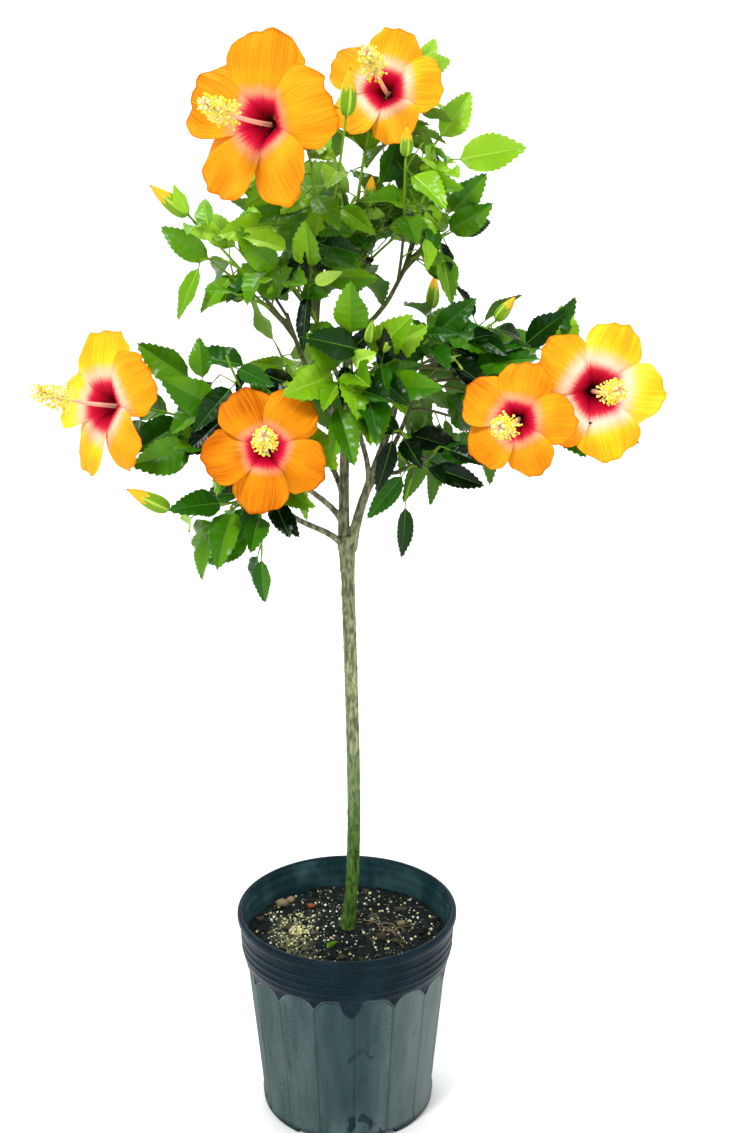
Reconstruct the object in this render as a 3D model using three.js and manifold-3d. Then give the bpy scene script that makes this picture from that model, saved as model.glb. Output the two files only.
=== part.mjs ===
// A hibiscus grown as a standard: one bare trunk in a nursery pot, with a crown of boughs,
// leafy twigs, open blooms and buds. Millimetres, +Z up. The origin is the middle of the
// pot's underside, and the plant is seen from -Y.

import * as THREE from "three";
import { mergeVertices } from "three/addons/utils/BufferGeometryUtils.js";
import Module from "manifold-3d";

const wasm = await Module();
wasm.setup();

// Clearance between neighbouring pieces
const CLEARANCE = 0.3;

// Pot: a round ten inch nursery pot of thin moulded plastic
const POT_HEIGHT = 250;
const POT_RIM_RADIUS = 127.5;
const POT_FOOT_RADIUS = 101.5;
const POT_BAND_RADIUS = 121.5;
const POT_SHOULDER_RADIUS = 118.5;
const POT_SHOULDER_HEIGHT = 190;
const POT_BAND_HEIGHT = 199;
const POT_LIP_HEIGHT = 10;
const POT_WALL = 3;
const POT_FLOOR = 3;
const POT_PANELS = 16;
const POT_GROOVE_DEPTH = 1.3;
const POT_GROOVE_HALF_WIDTH = THREE.MathUtils.degToRad(2);
const POT_DRAINS = 6;
const POT_DRAIN_WIDTH = 14;
const POT_DRAIN_HEIGHT = 9;
const POT_DRAIN_DEPTH = 20;
const POT_LIP_WIDTH = 5;
const POT_BAND_FLARE = 2;

// Potting mix: filled to a little below the rim and mounded up to the trunk
const MIX_EDGE_HEIGHT = 213;
const MIX_SEAT_HEIGHT = 222;
const MIX_SEAT_RADIUS = 14;
const MIX_SIDES = 26;
const MIX_MOUND = [[85, 2], [42, 5]];
const MIX_SEED = 7;
const MIX_BUMP = 1.6;
const MIX_SAG = 0.25;

// Trunk: from its flat cut at the mix to the fork, with a slight bow to +X
const FORK_HEIGHT = 700;
const TRUNK_BOW = [{ up: 0.21, x: 16 }, { up: 0.62, x: 5 }];
const TRUNK_LEAN = 2;
const TRUNK_RADIUS = 7.3;
const TRUNK_FLARE = 3.2;
const TRUNK_SWELL = 2.4;
const TRUNK_SIDES = 9;
const TRUNK_STEPS = 11;
const TRUNK_STEP_SPACING = 1.35;

// Boughs: the limb that carries it, how far up that, the tip, the radius at both ends, and
// how far to +X of that limb's middle it starts
const bough = (name, parent, at, tip, radii, aside = 0) => ({ name, parent, at, tip, radii, aside });
const BOUGHS = [
  bough("bough_leader", "trunk", 0.97, [3, 6, 934], [5.8, 3.4], -3.5),
  bough("bough_right", "trunk", 0.97, [56, -25, 856], [5.4, 3.2], 4.5),
  bough("bough_left_low", "trunk", 0.965, [-64, -48, 744], [3.6, 2.5]),
  bough("bough_left_mid", "bough_leader", 0.1, [-56, -35, 781], [3.4, 2.4]),
  bough("bough_left_high", "bough_leader", 0.46, [-45, -26, 905], [3.2, 2.3]),
  bough("bough_left_upright", "bough_leader", 0.66, [-22, -34, 918], [2.8, 2.2]),
  bough("bough_right_low", "bough_right", 0.5, [59, -36, 780], [2.9, 2.2]),
  bough("bough_right_high", "bough_leader", 0.84, [51, 5, 961], [2.9, 2.3]),
  bough("bough_front", "bough_right", 0.42, [12, -52, 848], [2.9, 2.3]),
  bough("bough_back_left", "bough_leader", 0.22, [-48, 60, 825], [3.2, 2.4]),
  bough("bough_back_right", "bough_right", 0.3, [66, 58, 815], [3.2, 2.4]),
  bough("bough_back_high", "bough_leader", 0.72, [8, 56, 935], [2.9, 2.3]),
];
const BOUGH_COLLAR = 0.2;
const BOUGH_SIDES = 6;
const BOUGH_STEPS = 4;
const BOUGH_PULL = 0.36;
const BOUGH_LEAVING = 0.45;
const BOUGH_ARRIVING = 0.75;

// Twigs: a mass's stem, and the shoots that leave it between two heights
const STEM_LENGTH = 42;
const STEM_TIP_RADIUS = 2.6;
const SHOOTS_LEAVE = [0.2, 0.95];
const SHOOT_RADIUS = [1.7, 1.2];
const SHOOT_STEPS = 4;
const SHOOT_PULL = 0.38;
const SHOOT_LEAVING = 0.25;
const SHOOT_FIRST_RING = 0.08;
const BUD_LEAN = 0.7;
const LEAF_DROP = 0.12;
const HANGING_DROP = 2.2;

// Leaves: one at each node of a shoot, turned by the golden angle from the last
const INTERNODE = 20;
const LEAVES_START = 0.17;
const LEAVES_END = 0.97;
const LEAF_LENGTH = 66;
const LEAF_HALF_WIDTH = 0.3;
const LEAF_WIDEST = 0.38;
const LEAF_THICKNESS = 0.016;
const LEAF_BEND = 0.16;
const PETIOLE_RADIUS = 1.1;
const PETIOLE_SHARE = 0.14;
const TIP_LEAF_AT = 0.98;
const LEAF_LEAN = { twig: 0.45, outward: 0.35 };
const LEAF_LIGHT = { open: 0.95, outward: 0.4 };
const SIDE_LIGHT = { up: 0.65, middle: 30 };
const TIP_LIGHT = { up: 0.3, middle: 90 };
const LEAF_CLEARANCE = 0.35;
const LEAF_SEED = 5000;
const GOLDEN_ANGLE = THREE.MathUtils.degToRad(137.5);

// Where the crown is open and light shows through it, seen from the side that the plant shows:
// across and up on the plane through the trunk, and the radius
const VIEWER = [32.6, -1700, 1200];
const OPENINGS = [
  [-82, 930, 20], [-116, 899, 14], [-120, 930, 12], [65, 996, 16], [76, 971, 8], [-19, 750, 12],
  [44, 765, 13], [-149, 772, 10], [-206, 774, 14], [-222, 984, 35], [-185, 992, 20], [-151, 998, 10],
  [-227, 1040, 28], [154, 992, 35], [181, 1030, 30], [132, 1023, 10], [135, 1074, 12], [180, 1069, 22],
  [150, 1141, 26], [120, 1125, 7], [115, 1181, 7], [204, 955, 13], [223, 992, 31], [-207, 712, 26],
  [-251, 726, 26], [-138, 651, 16], [-122, 705, 8], [-66, 671, 26], [-50, 626, 33], [-187, 614, 29],
  [108, 713, 28], [79, 763, 9], [44, 705, 10], [146, 722, 26], [197, 739, 24], [223, 774, 10],
  [-179, 1108, 24], [-201, 878, 7], [-281, 906, 23],
  [-166, 996, 22], [-104, 992, 14], [-70, 1006, 7], [-172, 961, 11], [-93, 931, 17],
  [10, 1063, 8], [41, 1072, 7], [57, 1060, 7], [23, 1107, 7], [64, 1106, 7], [124, 1147, 8],
  [126, 1020, 20], [86, 960, 11], [135, 936, 7], [-120, 895, 13], [-171, 851, 7],
  [-200, 781, 12], [-173, 756, 14], [-191, 677, 16], [35, 736, 8], [58, 763, 8], [86, 727, 17],
  [129, 760, 7],
];
const LEAF_SPREAD = [[0.35, 0.24], [0.35, -0.24], [0.7, 0.13], [0.7, -0.13], [1, 0]];

// The turns that a leaf tries in order
const LEAF_TRIES = [
  { turn: 0, size: 1 },
  { turn: 0.8, size: 1 },
  { turn: -0.8, size: 1 },
  { turn: 1.6, size: 0.8 },
  { turn: -1.6, size: 0.8 },
  { turn: 2.6, size: 0.8 },
];

// How far a mass may reach into the next one's space, and the points that stand for a shoot
const SHARED_SPACE = 16;
const BONES = 7;
const CROWN_BLEND = 60;

// Blooms: the stations of one petal as fractions of its reach: out from the axis, forward of
// the throat, and half the width
const PETALS = 5;
const PETAL_STATIONS = [
  [0.05, -0.24, 0.06],
  [0.22, -0.01, 0.19],
  [0.68, 0.1, 0.48],
  [0.98, 0.04, 0.31],
];
const PETAL_THICKNESS = 1.1;
const PETAL_TWIST = THREE.MathUtils.degToRad(13);
const CALYX_BACK = 34;
const CALYX_STATIONS = [[-36, 2], [-17, 9], [-6, 5]];
const CALYX_TURN = 180 / PETALS - 90;
const BUD_STATIONS = [[-0.05, 0.3], [0.18, 1], [0.5, 1.05], [0.8, 0.6], [1, 0]];
const COLUMN_STATIONS = [[-16, 2.2], [57, 1.8], [67, 14], [80, 13], [93, 0]];
const COLUMN_RISE = 9;

// What ends a shoot. A bloom is placed by its throat, the rest by the furthest tip. Turn is
// the side that a bloom faces, 0 for -Y and 90 for +X, and lift is how far it looks up.
const bloom = (place, turn, lift, reach, roll, cup) => ({
  kind: "bloom", place, turn, lift, reach, roll, cup,
});
const bud = (place, length, lean = BUD_LEAN) => ({ kind: "bud", place, length, lean });
const leaf = (place, drop = LEAF_DROP, length) => ({ kind: "leaf", place, drop, length });
const hanging = (place) => leaf(place, HANGING_DROP);

// Masses: the bough that carries each one, and the ends of its shoots
const MASSES = [
  {
    name: "foliage_top",
    bough: "bough_leader",
    ends: [
      bloom([43, 10, 1161], -13, 21, 60, 8, 0.16),
      bud([30, -10, 1080], 32),
      leaf([96, 45, 1212], 0.3, 46),
      leaf([112, 45, 1192], 0.8, 50),
      leaf([132, 25, 1160]),
      leaf([-12, -35, 1116]),
      leaf([30, 70, 1150]),
      leaf([95, 75, 1090]),
    ],
  },
  {
    name: "foliage_high_left",
    bough: "bough_left_upright",
    ends: [
      bloom([-70, -150, 1136], -32, 8, 83, 14, 0.04),
      bud([9, -65, 1184], 46),
      leaf([-135, -70, 1060]),
      leaf([-100, -95, 1030]),
      leaf([-35, -115, 1040]),
      leaf([-90, -20, 1100]),
    ],
  },
  {
    name: "foliage_upper_left",
    bough: "bough_left_high",
    ends: [
      bud([-190, -45, 1073], 48, 1.25),
      leaf([-185, -25, 1030]),
      hanging([-170, -50, 940]),
      leaf([-157, -60, 917], 0.75, 66),
      leaf([-150, 40, 1040]),
    ],
  },
  {
    name: "foliage_left",
    bough: "bough_left_mid",
    ends: [
      bloom([-240, -60, 855], -45, 12, 75, 32, -0.04),
      leaf([-210, -45, 915]),
      leaf([-90, -60, 899], 0.9, 42),
      leaf([-180, -85, 885]),
      leaf([-215, -85, 800]),
      leaf([-175, 0, 840]),
      leaf([-126, -65, 952], -0.9, 46),
    ],
  },
  {
    name: "foliage_lower_left",
    bough: "bough_left_low",
    ends: [
      bloom([-76, -110, 821], 3, 17, 66, 49, -0.16),
      bud([-220, -90, 775], 50),
      leaf([-90, -120, 775]),
      hanging([-152, -75, 670]),
      hanging([-127, -70, 695]),
      hanging([-85, -85, 648]),
      hanging([-99, -45, 718]),
    ],
  },
  {
    name: "foliage_upper_right",
    bough: "bough_right_high",
    ends: [
      bud([64, -50, 1131], 32),
      leaf([186, 0, 1108], 0.6, 78),
      leaf([145, -15, 1080]),
      leaf([150, -20, 1052]),
      leaf([120, 20, 1135]),
      hanging([112, -45, 957]),
      hanging([80, -25, 938]),
      leaf([160, 60, 1030]),
    ],
  },
  {
    name: "foliage_right",
    bough: "bough_right",
    ends: [
      bloom([254, -80, 873], 8, 8, 70, 70, 0.03),
      bloom([173, -110, 850], -16, 3, 60, 10, -0.06),
      bud([175, -35, 962], 32),
      leaf([240, -20, 958], -0.8, 52),
      leaf([135, -45, 960]),
      leaf([310, -40, 812]),
      leaf([215, 40, 900]),
    ],
  },
  {
    name: "foliage_lower_right",
    bough: "bough_right_low",
    ends: [
      leaf([146, -60, 771]),
      leaf([108, -50, 760]),
      hanging([62, -60, 690]),
      hanging([36, -90, 770]),
      leaf([26, -75, 738]),
      leaf([110, -95, 820]),
      leaf([150, 0, 800]),
    ],
  },
  {
    name: "foliage_front",
    bough: "bough_front",
    ends: [
      bud([30, -110, 950], 26),
      bud([48, -112, 938], 24),
      leaf([95, -120, 885]),
      hanging([-20, -100, 795]),
      leaf([-30, -120, 935]),
      leaf([10, -130, 985]),
      leaf([66, -105, 950]),
      leaf([20, -150, 900]),
      leaf([84, -75, 938]),
      leaf([-48, -90, 962]),
    ],
  },
  {
    name: "foliage_back_left",
    bough: "bough_back_left",
    ends: [
      bloom([-94, 150, 762], 205, 12, 62, 30, 0),
      leaf([-170, 70, 890]),
      leaf([-60, 190, 850]),
      leaf([-110, 100, 950]),
      hanging([-90, 90, 700]),
      leaf([0, 150, 800]),
    ],
  },
  {
    name: "foliage_back_right",
    bough: "bough_back_right",
    ends: [
      bloom([193, 120, 808], 140, 10, 62, 50, 0.02),
      leaf([120, 180, 880]),
      leaf([190, 90, 950]),
      bud([100, 150, 960], 40),
      hanging([100, 110, 705]),
      leaf([60, 190, 830]),
    ],
  },
  {
    name: "foliage_back_high",
    bough: "bough_back_high",
    ends: [
      bud([-70, 150, 1120], 46),
      bud([60, 150, 1110], 36),
      leaf([-120, 110, 1050]),
      leaf([-20, 110, 1140]),
      leaf([110, 150, 1040]),
      leaf([40, 200, 1020]),
    ],
  },
];

// Colours
const POT_COLOUR = 0x2b3f45;
const MIX_COLOUR = 0x2c2620;
const TRUNK_COLOUR = 0x6b6b50;
const BOUGH_COLOUR = 0x5c6048;
const FOLIAGE_COLOUR = 0x3f7a1c;

const UP = new THREE.Vector3(0, 0, 1);
const vector = (place) => new THREE.Vector3(...place);
const mix = THREE.MathUtils.lerp;

// Steady random numbers from a whole number
function random(seed) {
  let state = Math.imul(seed + 1, 2654435761) >>> 0;
  return () => {
    state = (Math.imul(state, 1664525) + 1013904223) >>> 0;
    return state / 4294967296;
  };
}

// A closed body through rings of points. A ring of one point closes it in a tip.
function loft(rings) {
  const positions = [];
  const index = [];
  const firsts = [];
  for (const ring of rings) {
    firsts.push(positions.length / 3);
    ring.forEach((point) => positions.push(point.x, point.y, point.z));
  }
  for (let row = 0; row + 1 < rings.length; row++) {
    const [lower, upper] = [rings[row].length, rings[row + 1].length];
    for (let k = 0; k < Math.max(lower, upper); k++) {
      const a = firsts[row] + (k % lower);
      const b = firsts[row] + ((k + 1) % lower);
      const c = firsts[row + 1] + ((k + 1) % upper);
      const d = firsts[row + 1] + (k % upper);
      if (lower > 1) index.push(a, b, c);
      if (upper > 1) index.push(a, c, d);
    }
  }
  const last = firsts[firsts.length - 1];
  for (let k = 1; k + 1 < rings[0].length; k++) {
    index.push(0, k + 1, k);
  }
  for (let k = 1; k + 1 < rings[rings.length - 1].length; k++) {
    index.push(last, last + k, last + k + 1);
  }
  const geometry = new THREE.BufferGeometry();
  geometry.setAttribute("position", new THREE.Float32BufferAttribute(positions, 3));
  geometry.setIndex(index);
  return geometry;
}

function toSolid(geometry) {
  const bare = geometry.clone();
  bare.deleteAttribute("normal");
  bare.deleteAttribute("uv");
  const merged = mergeVertices(bare, 1e-4);
  return new wasm.Manifold(new wasm.Mesh({
    numProp: 3,
    vertProperties: Float32Array.from(merged.attributes.position.array),
    triVerts: Uint32Array.from(merged.index.array),
  }));
}

function toGeometry(solid) {
  const { vertProperties, triVerts } = solid.getMesh();
  const geometry = new THREE.BufferGeometry();
  geometry.setAttribute("position", new THREE.BufferAttribute(new Float32Array(vertProperties), 3));
  geometry.setIndex(Array.from(triVerts));
  return geometry;
}

// The main piece of a solid, without loose scraps and sealed hollows
function mainPiece(solid) {
  return solid.decompose().reduce((best, piece) => (piece.volume() > best.volume() ? piece : best));
}

const joined = (solids) => solids.reduce((whole, solid) => whole.add(solid));

function touches(one, other) {
  return one.box.intersectsBox(other.box) && !one.solid.intersect(other.solid).isEmpty();
}

function body(geometry) {
  geometry.computeBoundingBox();
  return { solid: toSolid(geometry), box: geometry.boundingBox };
}

// A path from start to end that leaves and arrives along the given directions
function path(start, leaving, end, arriving, pull) {
  const reach = start.distanceTo(end) * pull;
  const first = start.clone().addScaledVector(leaving, reach);
  const second = end.clone().addScaledVector(arriving, -reach);
  return new THREE.CubicBezierCurve3(start, first, second, end);
}

// A direction between two, with a share of the first
function blend(one, share, other) {
  return one.clone().multiplyScalar(share).addScaledVector(other, 1 - share).normalize();
}

// A direction square to the one given, kept the same along a whole path
function squareTo(direction) {
  const aside = Math.abs(direction.z) < 0.9 ? UP : new THREE.Vector3(0, 1, 0);
  return new THREE.Vector3().crossVectors(aside, direction).normalize();
}

function roundRing(centre, direction, aside, radius, sides) {
  const normal = aside.clone().addScaledVector(direction, -aside.dot(direction)).normalize();
  const side = new THREE.Vector3().crossVectors(normal, direction);
  return Array.from({ length: sides }, (_, k) => {
    const angle = (2 * Math.PI * k) / sides;
    return centre.clone()
      .addScaledVector(side, radius * Math.cos(angle))
      .addScaledVector(normal, radius * Math.sin(angle));
  });
}

// A limb with its own radius at each step of its path. Grown by an amount, it is thicker and
// longer by that much all round.
function limb(curve, radiusAt, sides, steps, grow = 0) {
  const chord = curve.getPoint(1).sub(curve.getPoint(0)).normalize();
  const aside = squareTo(chord);
  const rings = [];
  for (let step = 0; step <= steps; step++) {
    const t = step / steps;
    const direction = curve.getTangent(t);
    const centre = curve.getPoint(t);
    if (step === 0) centre.addScaledVector(direction, -grow);
    if (step === steps) centre.addScaledVector(direction, grow);
    rings.push(roundRing(centre, direction, aside, radiusAt(t) + grow, sides));
  }
  return loft(rings);
}

// Pot
function potProfile() {
  const outline = [
    [0, 0],
    [POT_FOOT_RADIUS - 3, 0],
    [POT_FOOT_RADIUS, 3],
    [POT_SHOULDER_RADIUS, POT_SHOULDER_HEIGHT],
    [POT_BAND_RADIUS, POT_BAND_HEIGHT],
    [POT_BAND_RADIUS + POT_BAND_FLARE, POT_HEIGHT - POT_LIP_HEIGHT - 3],
    [POT_RIM_RADIUS, POT_HEIGHT - POT_LIP_HEIGHT],
    [POT_RIM_RADIUS, POT_HEIGHT],
    [POT_RIM_RADIUS - POT_LIP_WIDTH, POT_HEIGHT],
    [potInside(POT_HEIGHT - POT_LIP_HEIGHT), POT_HEIGHT - POT_LIP_HEIGHT],
    [potInside(POT_BAND_HEIGHT), POT_BAND_HEIGHT],
    [potInside(POT_SHOULDER_HEIGHT), POT_SHOULDER_HEIGHT],
    [potInside(POT_FLOOR), POT_FLOOR],
    [0, POT_FLOOR],
  ];
  return outline.map(([radius, height]) => new THREE.Vector2(radius, height));
}

// The radius of the inside wall at a height
function potInside(height) {
  const knots = [
    [POT_FLOOR, POT_FOOT_RADIUS],
    [POT_SHOULDER_HEIGHT, POT_SHOULDER_RADIUS],
    [POT_BAND_HEIGHT, POT_BAND_RADIUS],
    [POT_HEIGHT, POT_BAND_RADIUS + POT_BAND_FLARE],
  ];
  const upper = Math.max(1, knots.findIndex(([knot]) => knot >= height));
  const [[z0, r0], [z1, r1]] = [knots[upper - 1], knots[upper]];
  return mix(r0, r1, (height - z0) / (z1 - z0)) - POT_WALL;
}

// Grooves part the wall below the band into flat panels
function grooveWall(geometry) {
  const pitch = (2 * Math.PI) / POT_PANELS;
  const position = geometry.attributes.position;
  for (let i = 0; i < position.count; i++) {
    const [x, y, z] = [position.getX(i), position.getY(i), position.getZ(i)];
    const radius = Math.hypot(x, y);
    const onWall = z > 1 && z < POT_BAND_HEIGHT - 1 && radius > potInside(z) + POT_WALL / 2;
    if (!onWall) continue;
    const angle = Math.atan2(y, x);
    const panel = Math.round(angle / pitch);
    const offset = angle / pitch - panel;
    const inGroove = Math.abs(offset) < 0.1;
    const onEdge = Math.abs(offset) > 0.1 && Math.abs(offset) < 0.4;
    const turned = onEdge ? panel * pitch + Math.sign(offset) * POT_GROOVE_HALF_WIDTH : angle;
    const reach = inGroove ? radius - POT_GROOVE_DEPTH : radius;
    position.setXY(i, reach * Math.cos(turned), reach * Math.sin(turned));
  }
}

function makePot() {
  const geometry = new THREE.LatheGeometry(potProfile(), POT_PANELS * 3);
  geometry.rotateX(Math.PI / 2);
  grooveWall(geometry);
  let pot = toSolid(geometry);
  for (let k = 0; k < POT_DRAINS; k++) {
    const drain = new THREE.BoxGeometry(POT_DRAIN_DEPTH, POT_DRAIN_WIDTH, POT_DRAIN_HEIGHT * 2);
    drain.translate(POT_FOOT_RADIUS, 0, 0);
    drain.rotateZ((2 * Math.PI * (k + 0.25)) / POT_DRAINS);
    pot = pot.subtract(toSolid(drain));
  }
  return toGeometry(pot);
}

// Potting mix
function makeMix() {
  const gap = CLEARANCE + MIX_SAG;
  const foot = POT_FLOOR + CLEARANCE;
  const profile = [
    [0, foot],
    [potInside(foot) - gap, foot],
    [potInside(POT_SHOULDER_HEIGHT) - gap, POT_SHOULDER_HEIGHT],
    [potInside(MIX_EDGE_HEIGHT) - gap, MIX_EDGE_HEIGHT],
    ...MIX_MOUND.map(([radius, rise]) => [radius, MIX_EDGE_HEIGHT + rise]),
    [MIX_SEAT_RADIUS, MIX_SEAT_HEIGHT],
    [0, MIX_SEAT_HEIGHT],
  ].map(([radius, height]) => new THREE.Vector2(radius, height));
  const geometry = new THREE.LatheGeometry(profile, MIX_SIDES);
  geometry.rotateX(Math.PI / 2);
  const merged = mergeVertices(withoutShading(geometry), 1e-4);
  const draw = random(MIX_SEED);
  const position = merged.attributes.position;
  for (let i = 0; i < position.count; i++) {
    const radius = Math.hypot(position.getX(i), position.getY(i));
    const lump = (draw() * 2 - 1) * MIX_BUMP;
    const onTop = position.getZ(i) > MIX_EDGE_HEIGHT + 1 && radius > MIX_SEAT_RADIUS + 1;
    if (onTop) position.setZ(i, position.getZ(i) + lump);
  }
  return merged;
}

function withoutShading(geometry) {
  geometry.deleteAttribute("normal");
  geometry.deleteAttribute("uv");
  return geometry;
}

// Trunk and boughs
function trunkPath() {
  const foot = MIX_SEAT_HEIGHT + CLEARANCE;
  const height = FORK_HEIGHT - foot;
  return new THREE.CubicBezierCurve3(
    new THREE.Vector3(0, 0, foot),
    ...TRUNK_BOW.map(({ up, x }) => new THREE.Vector3(x, 0, foot + up * height)),
    new THREE.Vector3(TRUNK_LEAN, 0, FORK_HEIGHT),
  );
}

// Wide at the root flare, slim above it, and swollen again under the fork
function trunkRadius(t) {
  const flare = TRUNK_FLARE * Math.exp(-t / 0.045);
  const swell = TRUNK_SWELL * THREE.MathUtils.smoothstep(t, 0.9, 1);
  return TRUNK_RADIUS + flare + swell;
}

// The trunk's rings are level at the foot, where it is cut flat
function makeTrunk(curve, grow = 0) {
  const rings = [];
  for (let step = 0; step <= TRUNK_STEPS; step++) {
    const t = (step / TRUNK_STEPS) ** TRUNK_STEP_SPACING;
    const centre = curve.getPoint(t);
    if (step === TRUNK_STEPS) centre.z += grow;
    rings.push(roundRing(centre, UP, new THREE.Vector3(0, 1, 0), trunkRadius(t) + grow, TRUNK_SIDES));
  }
  return loft(rings);
}

// Limbs, each cut clear of those before it
const limbs = [];
const trunkCurve = trunkPath();
limbs.push({
  name: "trunk",
  curve: trunkCurve,
  colour: TRUNK_COLOUR,
  solid: toSolid(makeTrunk(trunkCurve)),
  grown: toSolid(makeTrunk(trunkCurve, CLEARANCE)),
});

function makeBough({ name, parent, at, tip, radii, aside }) {
  const carrier = limbs.find((one) => one.name === parent);
  const start = carrier.curve.getPoint(at);
  start.x += aside;
  const end = vector(tip);
  const chord = end.clone().sub(start).normalize();
  const leaving = blend(carrier.curve.getTangent(at), BOUGH_LEAVING, chord);
  const arriving = blend(chord, BOUGH_ARRIVING, UP);
  const curve = path(start, leaving, end, arriving, BOUGH_PULL);
  const radiusAt = (t) => mix(radii[0], radii[1], t) * (1 + BOUGH_COLLAR * Math.exp(-9 * t));
  const before = joined(limbs.map((one) => one.grown));
  const solid = toSolid(limb(curve, radiusAt, BOUGH_SIDES, BOUGH_STEPS)).subtract(before);
  const grown = toSolid(limb(curve, radiusAt, BOUGH_SIDES, BOUGH_STEPS, CLEARANCE));
  limbs.push({ name, curve, colour: BOUGH_COLOUR, tipRadius: radii[1], solid: mainPiece(solid), grown });
}

BOUGHS.forEach(makeBough);

// Twigs. Each mass has a stem that starts clear of its bough's tip, and its shoots leave the
// stem for their own ends.
function makeStem(bough) {
  const direction = bough.curve.getTangent(1);
  const start = bough.curve.getPoint(1).addScaledVector(direction, CLEARANCE);
  const end = start.clone().addScaledVector(direction, STEM_LENGTH);
  return path(start, direction, end, blend(direction, 0.8, UP), 1 / 3);
}

function facing({ turn, lift }) {
  const [across, up] = [THREE.MathUtils.degToRad(turn), THREE.MathUtils.degToRad(lift)];
  return new THREE.Vector3(
    Math.sin(across) * Math.cos(up),
    -Math.cos(across) * Math.cos(up),
    Math.sin(up),
  );
}

// Where a shoot ends and which way it points there
function shootEnd(end, start, leafLength) {
  const place = vector(end.place);
  const chord = place.clone().sub(start).normalize();
  if (end.kind === "bloom") {
    const direction = facing(end);
    return { place: place.addScaledVector(direction, -CALYX_BACK), direction };
  }
  if (end.kind === "bud") {
    const direction = blend(chord, end.lean, UP);
    return { place: place.addScaledVector(direction, -end.length), direction };
  }
  const direction = chord.clone().addScaledVector(UP, -end.drop).normalize();
  return { place: place.addScaledVector(direction, -leafLength), direction };
}

function makeShoot(stem, end, share, seed) {
  const at = mix(SHOOTS_LEAVE[0], SHOOTS_LEAVE[1], share);
  const start = stem.getPoint(at);
  const lastLeaf = end.length ?? LEAF_LENGTH * (0.8 + 0.3 * random(seed)());
  const { place, direction } = shootEnd(end, start, lastLeaf);
  const chord = place.clone().sub(start).normalize();
  const leaving = blend(stem.getTangent(at), SHOOT_LEAVING, chord);
  const arriving = end.kind === "bloom" ? direction : blend(chord, 0.5, direction);
  const curve = path(start, leaving, place, arriving, SHOOT_PULL);
  return { end, curve, length: start.distanceTo(place), seed };
}

// A shoot starts in a point inside its stem
function shootGeometry({ curve }) {
  const aside = squareTo(curve.getPoint(1).sub(curve.getPoint(0)).normalize());
  const rings = [[curve.getPoint(0)]];
  for (let step = 0; step <= SHOOT_STEPS; step++) {
    const t = step === 0 ? SHOOT_FIRST_RING : step / SHOOT_STEPS;
    rings.push(roundRing(curve.getPoint(t), curve.getTangent(t), aside, shootRadius(t), 3));
  }
  return loft(rings);
}

const shootRadius = (t) => mix(SHOOT_RADIUS[0], SHOOT_RADIUS[1], t);

// Leaves
function leafTraits(shoot) {
  const draw = random(shoot.seed + LEAF_SEED);
  const count = Math.max(2, Math.round(shoot.length / INTERNODE));
  const traits = [];
  let turn = draw() * 2 * Math.PI;
  for (let k = 0; k < count; k++) {
    turn += GOLDEN_ANGLE + (draw() - 0.5) * 0.5;
    const at = mix(LEAVES_START, LEAVES_END, (k + 0.5) / count);
    traits.push({
      at,
      turn,
      length: LEAF_LENGTH * (0.72 + 0.5 * draw()) * (1 - 0.3 * at * at),
      petiole: 9 + 12 * draw(),
      droop: 0.1 + 0.8 * draw(),
      roll: draw() - 0.5,
    });
  }
  return traits;
}

// The blade's own directions: along it, across it, and out of its upper face, which turns
// to the light above and to whichever side of the crown is open, front or back
function leafFrame(root, along, roll, light = SIDE_LIGHT) {
  const open = THREE.MathUtils.clamp((root.y - light.middle) / CROWN_BLEND, -1, 1);
  const sky = new THREE.Vector3(0, LEAF_LIGHT.open * open, light.up);
  sky.addScaledVector(outwardAt(root), LEAF_LIGHT.outward);
  const normal = sky.addScaledVector(along, -sky.dot(along)).normalize().applyAxisAngle(along, roll);
  const side = new THREE.Vector3().crossVectors(normal, along);
  return { along, side, normal };
}

// Level, and away from the middle of the crown
const outwardAt = (place) => new THREE.Vector3(place.x, place.y, 0).normalize();

// A point on a shoot's straight pieces
function onShoot({ curve }, at) {
  const step = Math.min(Math.floor(at * SHOOT_STEPS), SHOOT_STEPS - 1);
  const lower = curve.getPoint(step / SHOOT_STEPS);
  const upper = curve.getPoint((step + 1) / SHOOT_STEPS);
  return lower.lerp(upper, at * SHOOT_STEPS - step);
}

function sideLeaf(shoot, trait, attempt) {
  const root = onShoot(shoot, trait.at);
  const twig = shoot.curve.getTangent(trait.at);
  const aside = squareTo(twig);
  const across = new THREE.Vector3().crossVectors(twig, aside);
  const turn = trait.turn + attempt.turn;
  const along = aside.multiplyScalar(Math.cos(turn)).addScaledVector(across, Math.sin(turn));
  along.addScaledVector(twig, LEAF_LEAN.twig).addScaledVector(outwardAt(root), LEAF_LEAN.outward);
  along.addScaledVector(UP, -trait.droop).normalize();
  const length = trait.length * attempt.size;
  return { root, length, petiole: trait.petiole, ...leafFrame(root, along, trait.roll) };
}

// The leaf that goes on past the end of a shoot
function tipLeaf(shoot) {
  const root = onShoot(shoot, TIP_LEAF_AT);
  const tip = vector(shoot.end.place);
  const along = tip.clone().sub(root).normalize();
  const reach = root.distanceTo(tip);
  const petiole = reach * PETIOLE_SHARE;
  return { root, length: reach - petiole, petiole, ...leafFrame(root, along, 0, TIP_LIGHT) };
}

// A thin section, flat above and with a keel below. Grown, it is a box round that.
function bladeRing(centre, side, normal, half, depth, grow) {
  const at = (across, up) => centre.clone().addScaledVector(side, across).addScaledVector(normal, up);
  if (grow === 0) return [at(-half, 0), at(0, -depth), at(half, 0)];
  const wide = half + grow;
  return [at(-wide, grow), at(-wide, -grow), at(0, -depth - grow), at(wide, -grow), at(wide, grow)];
}

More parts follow.
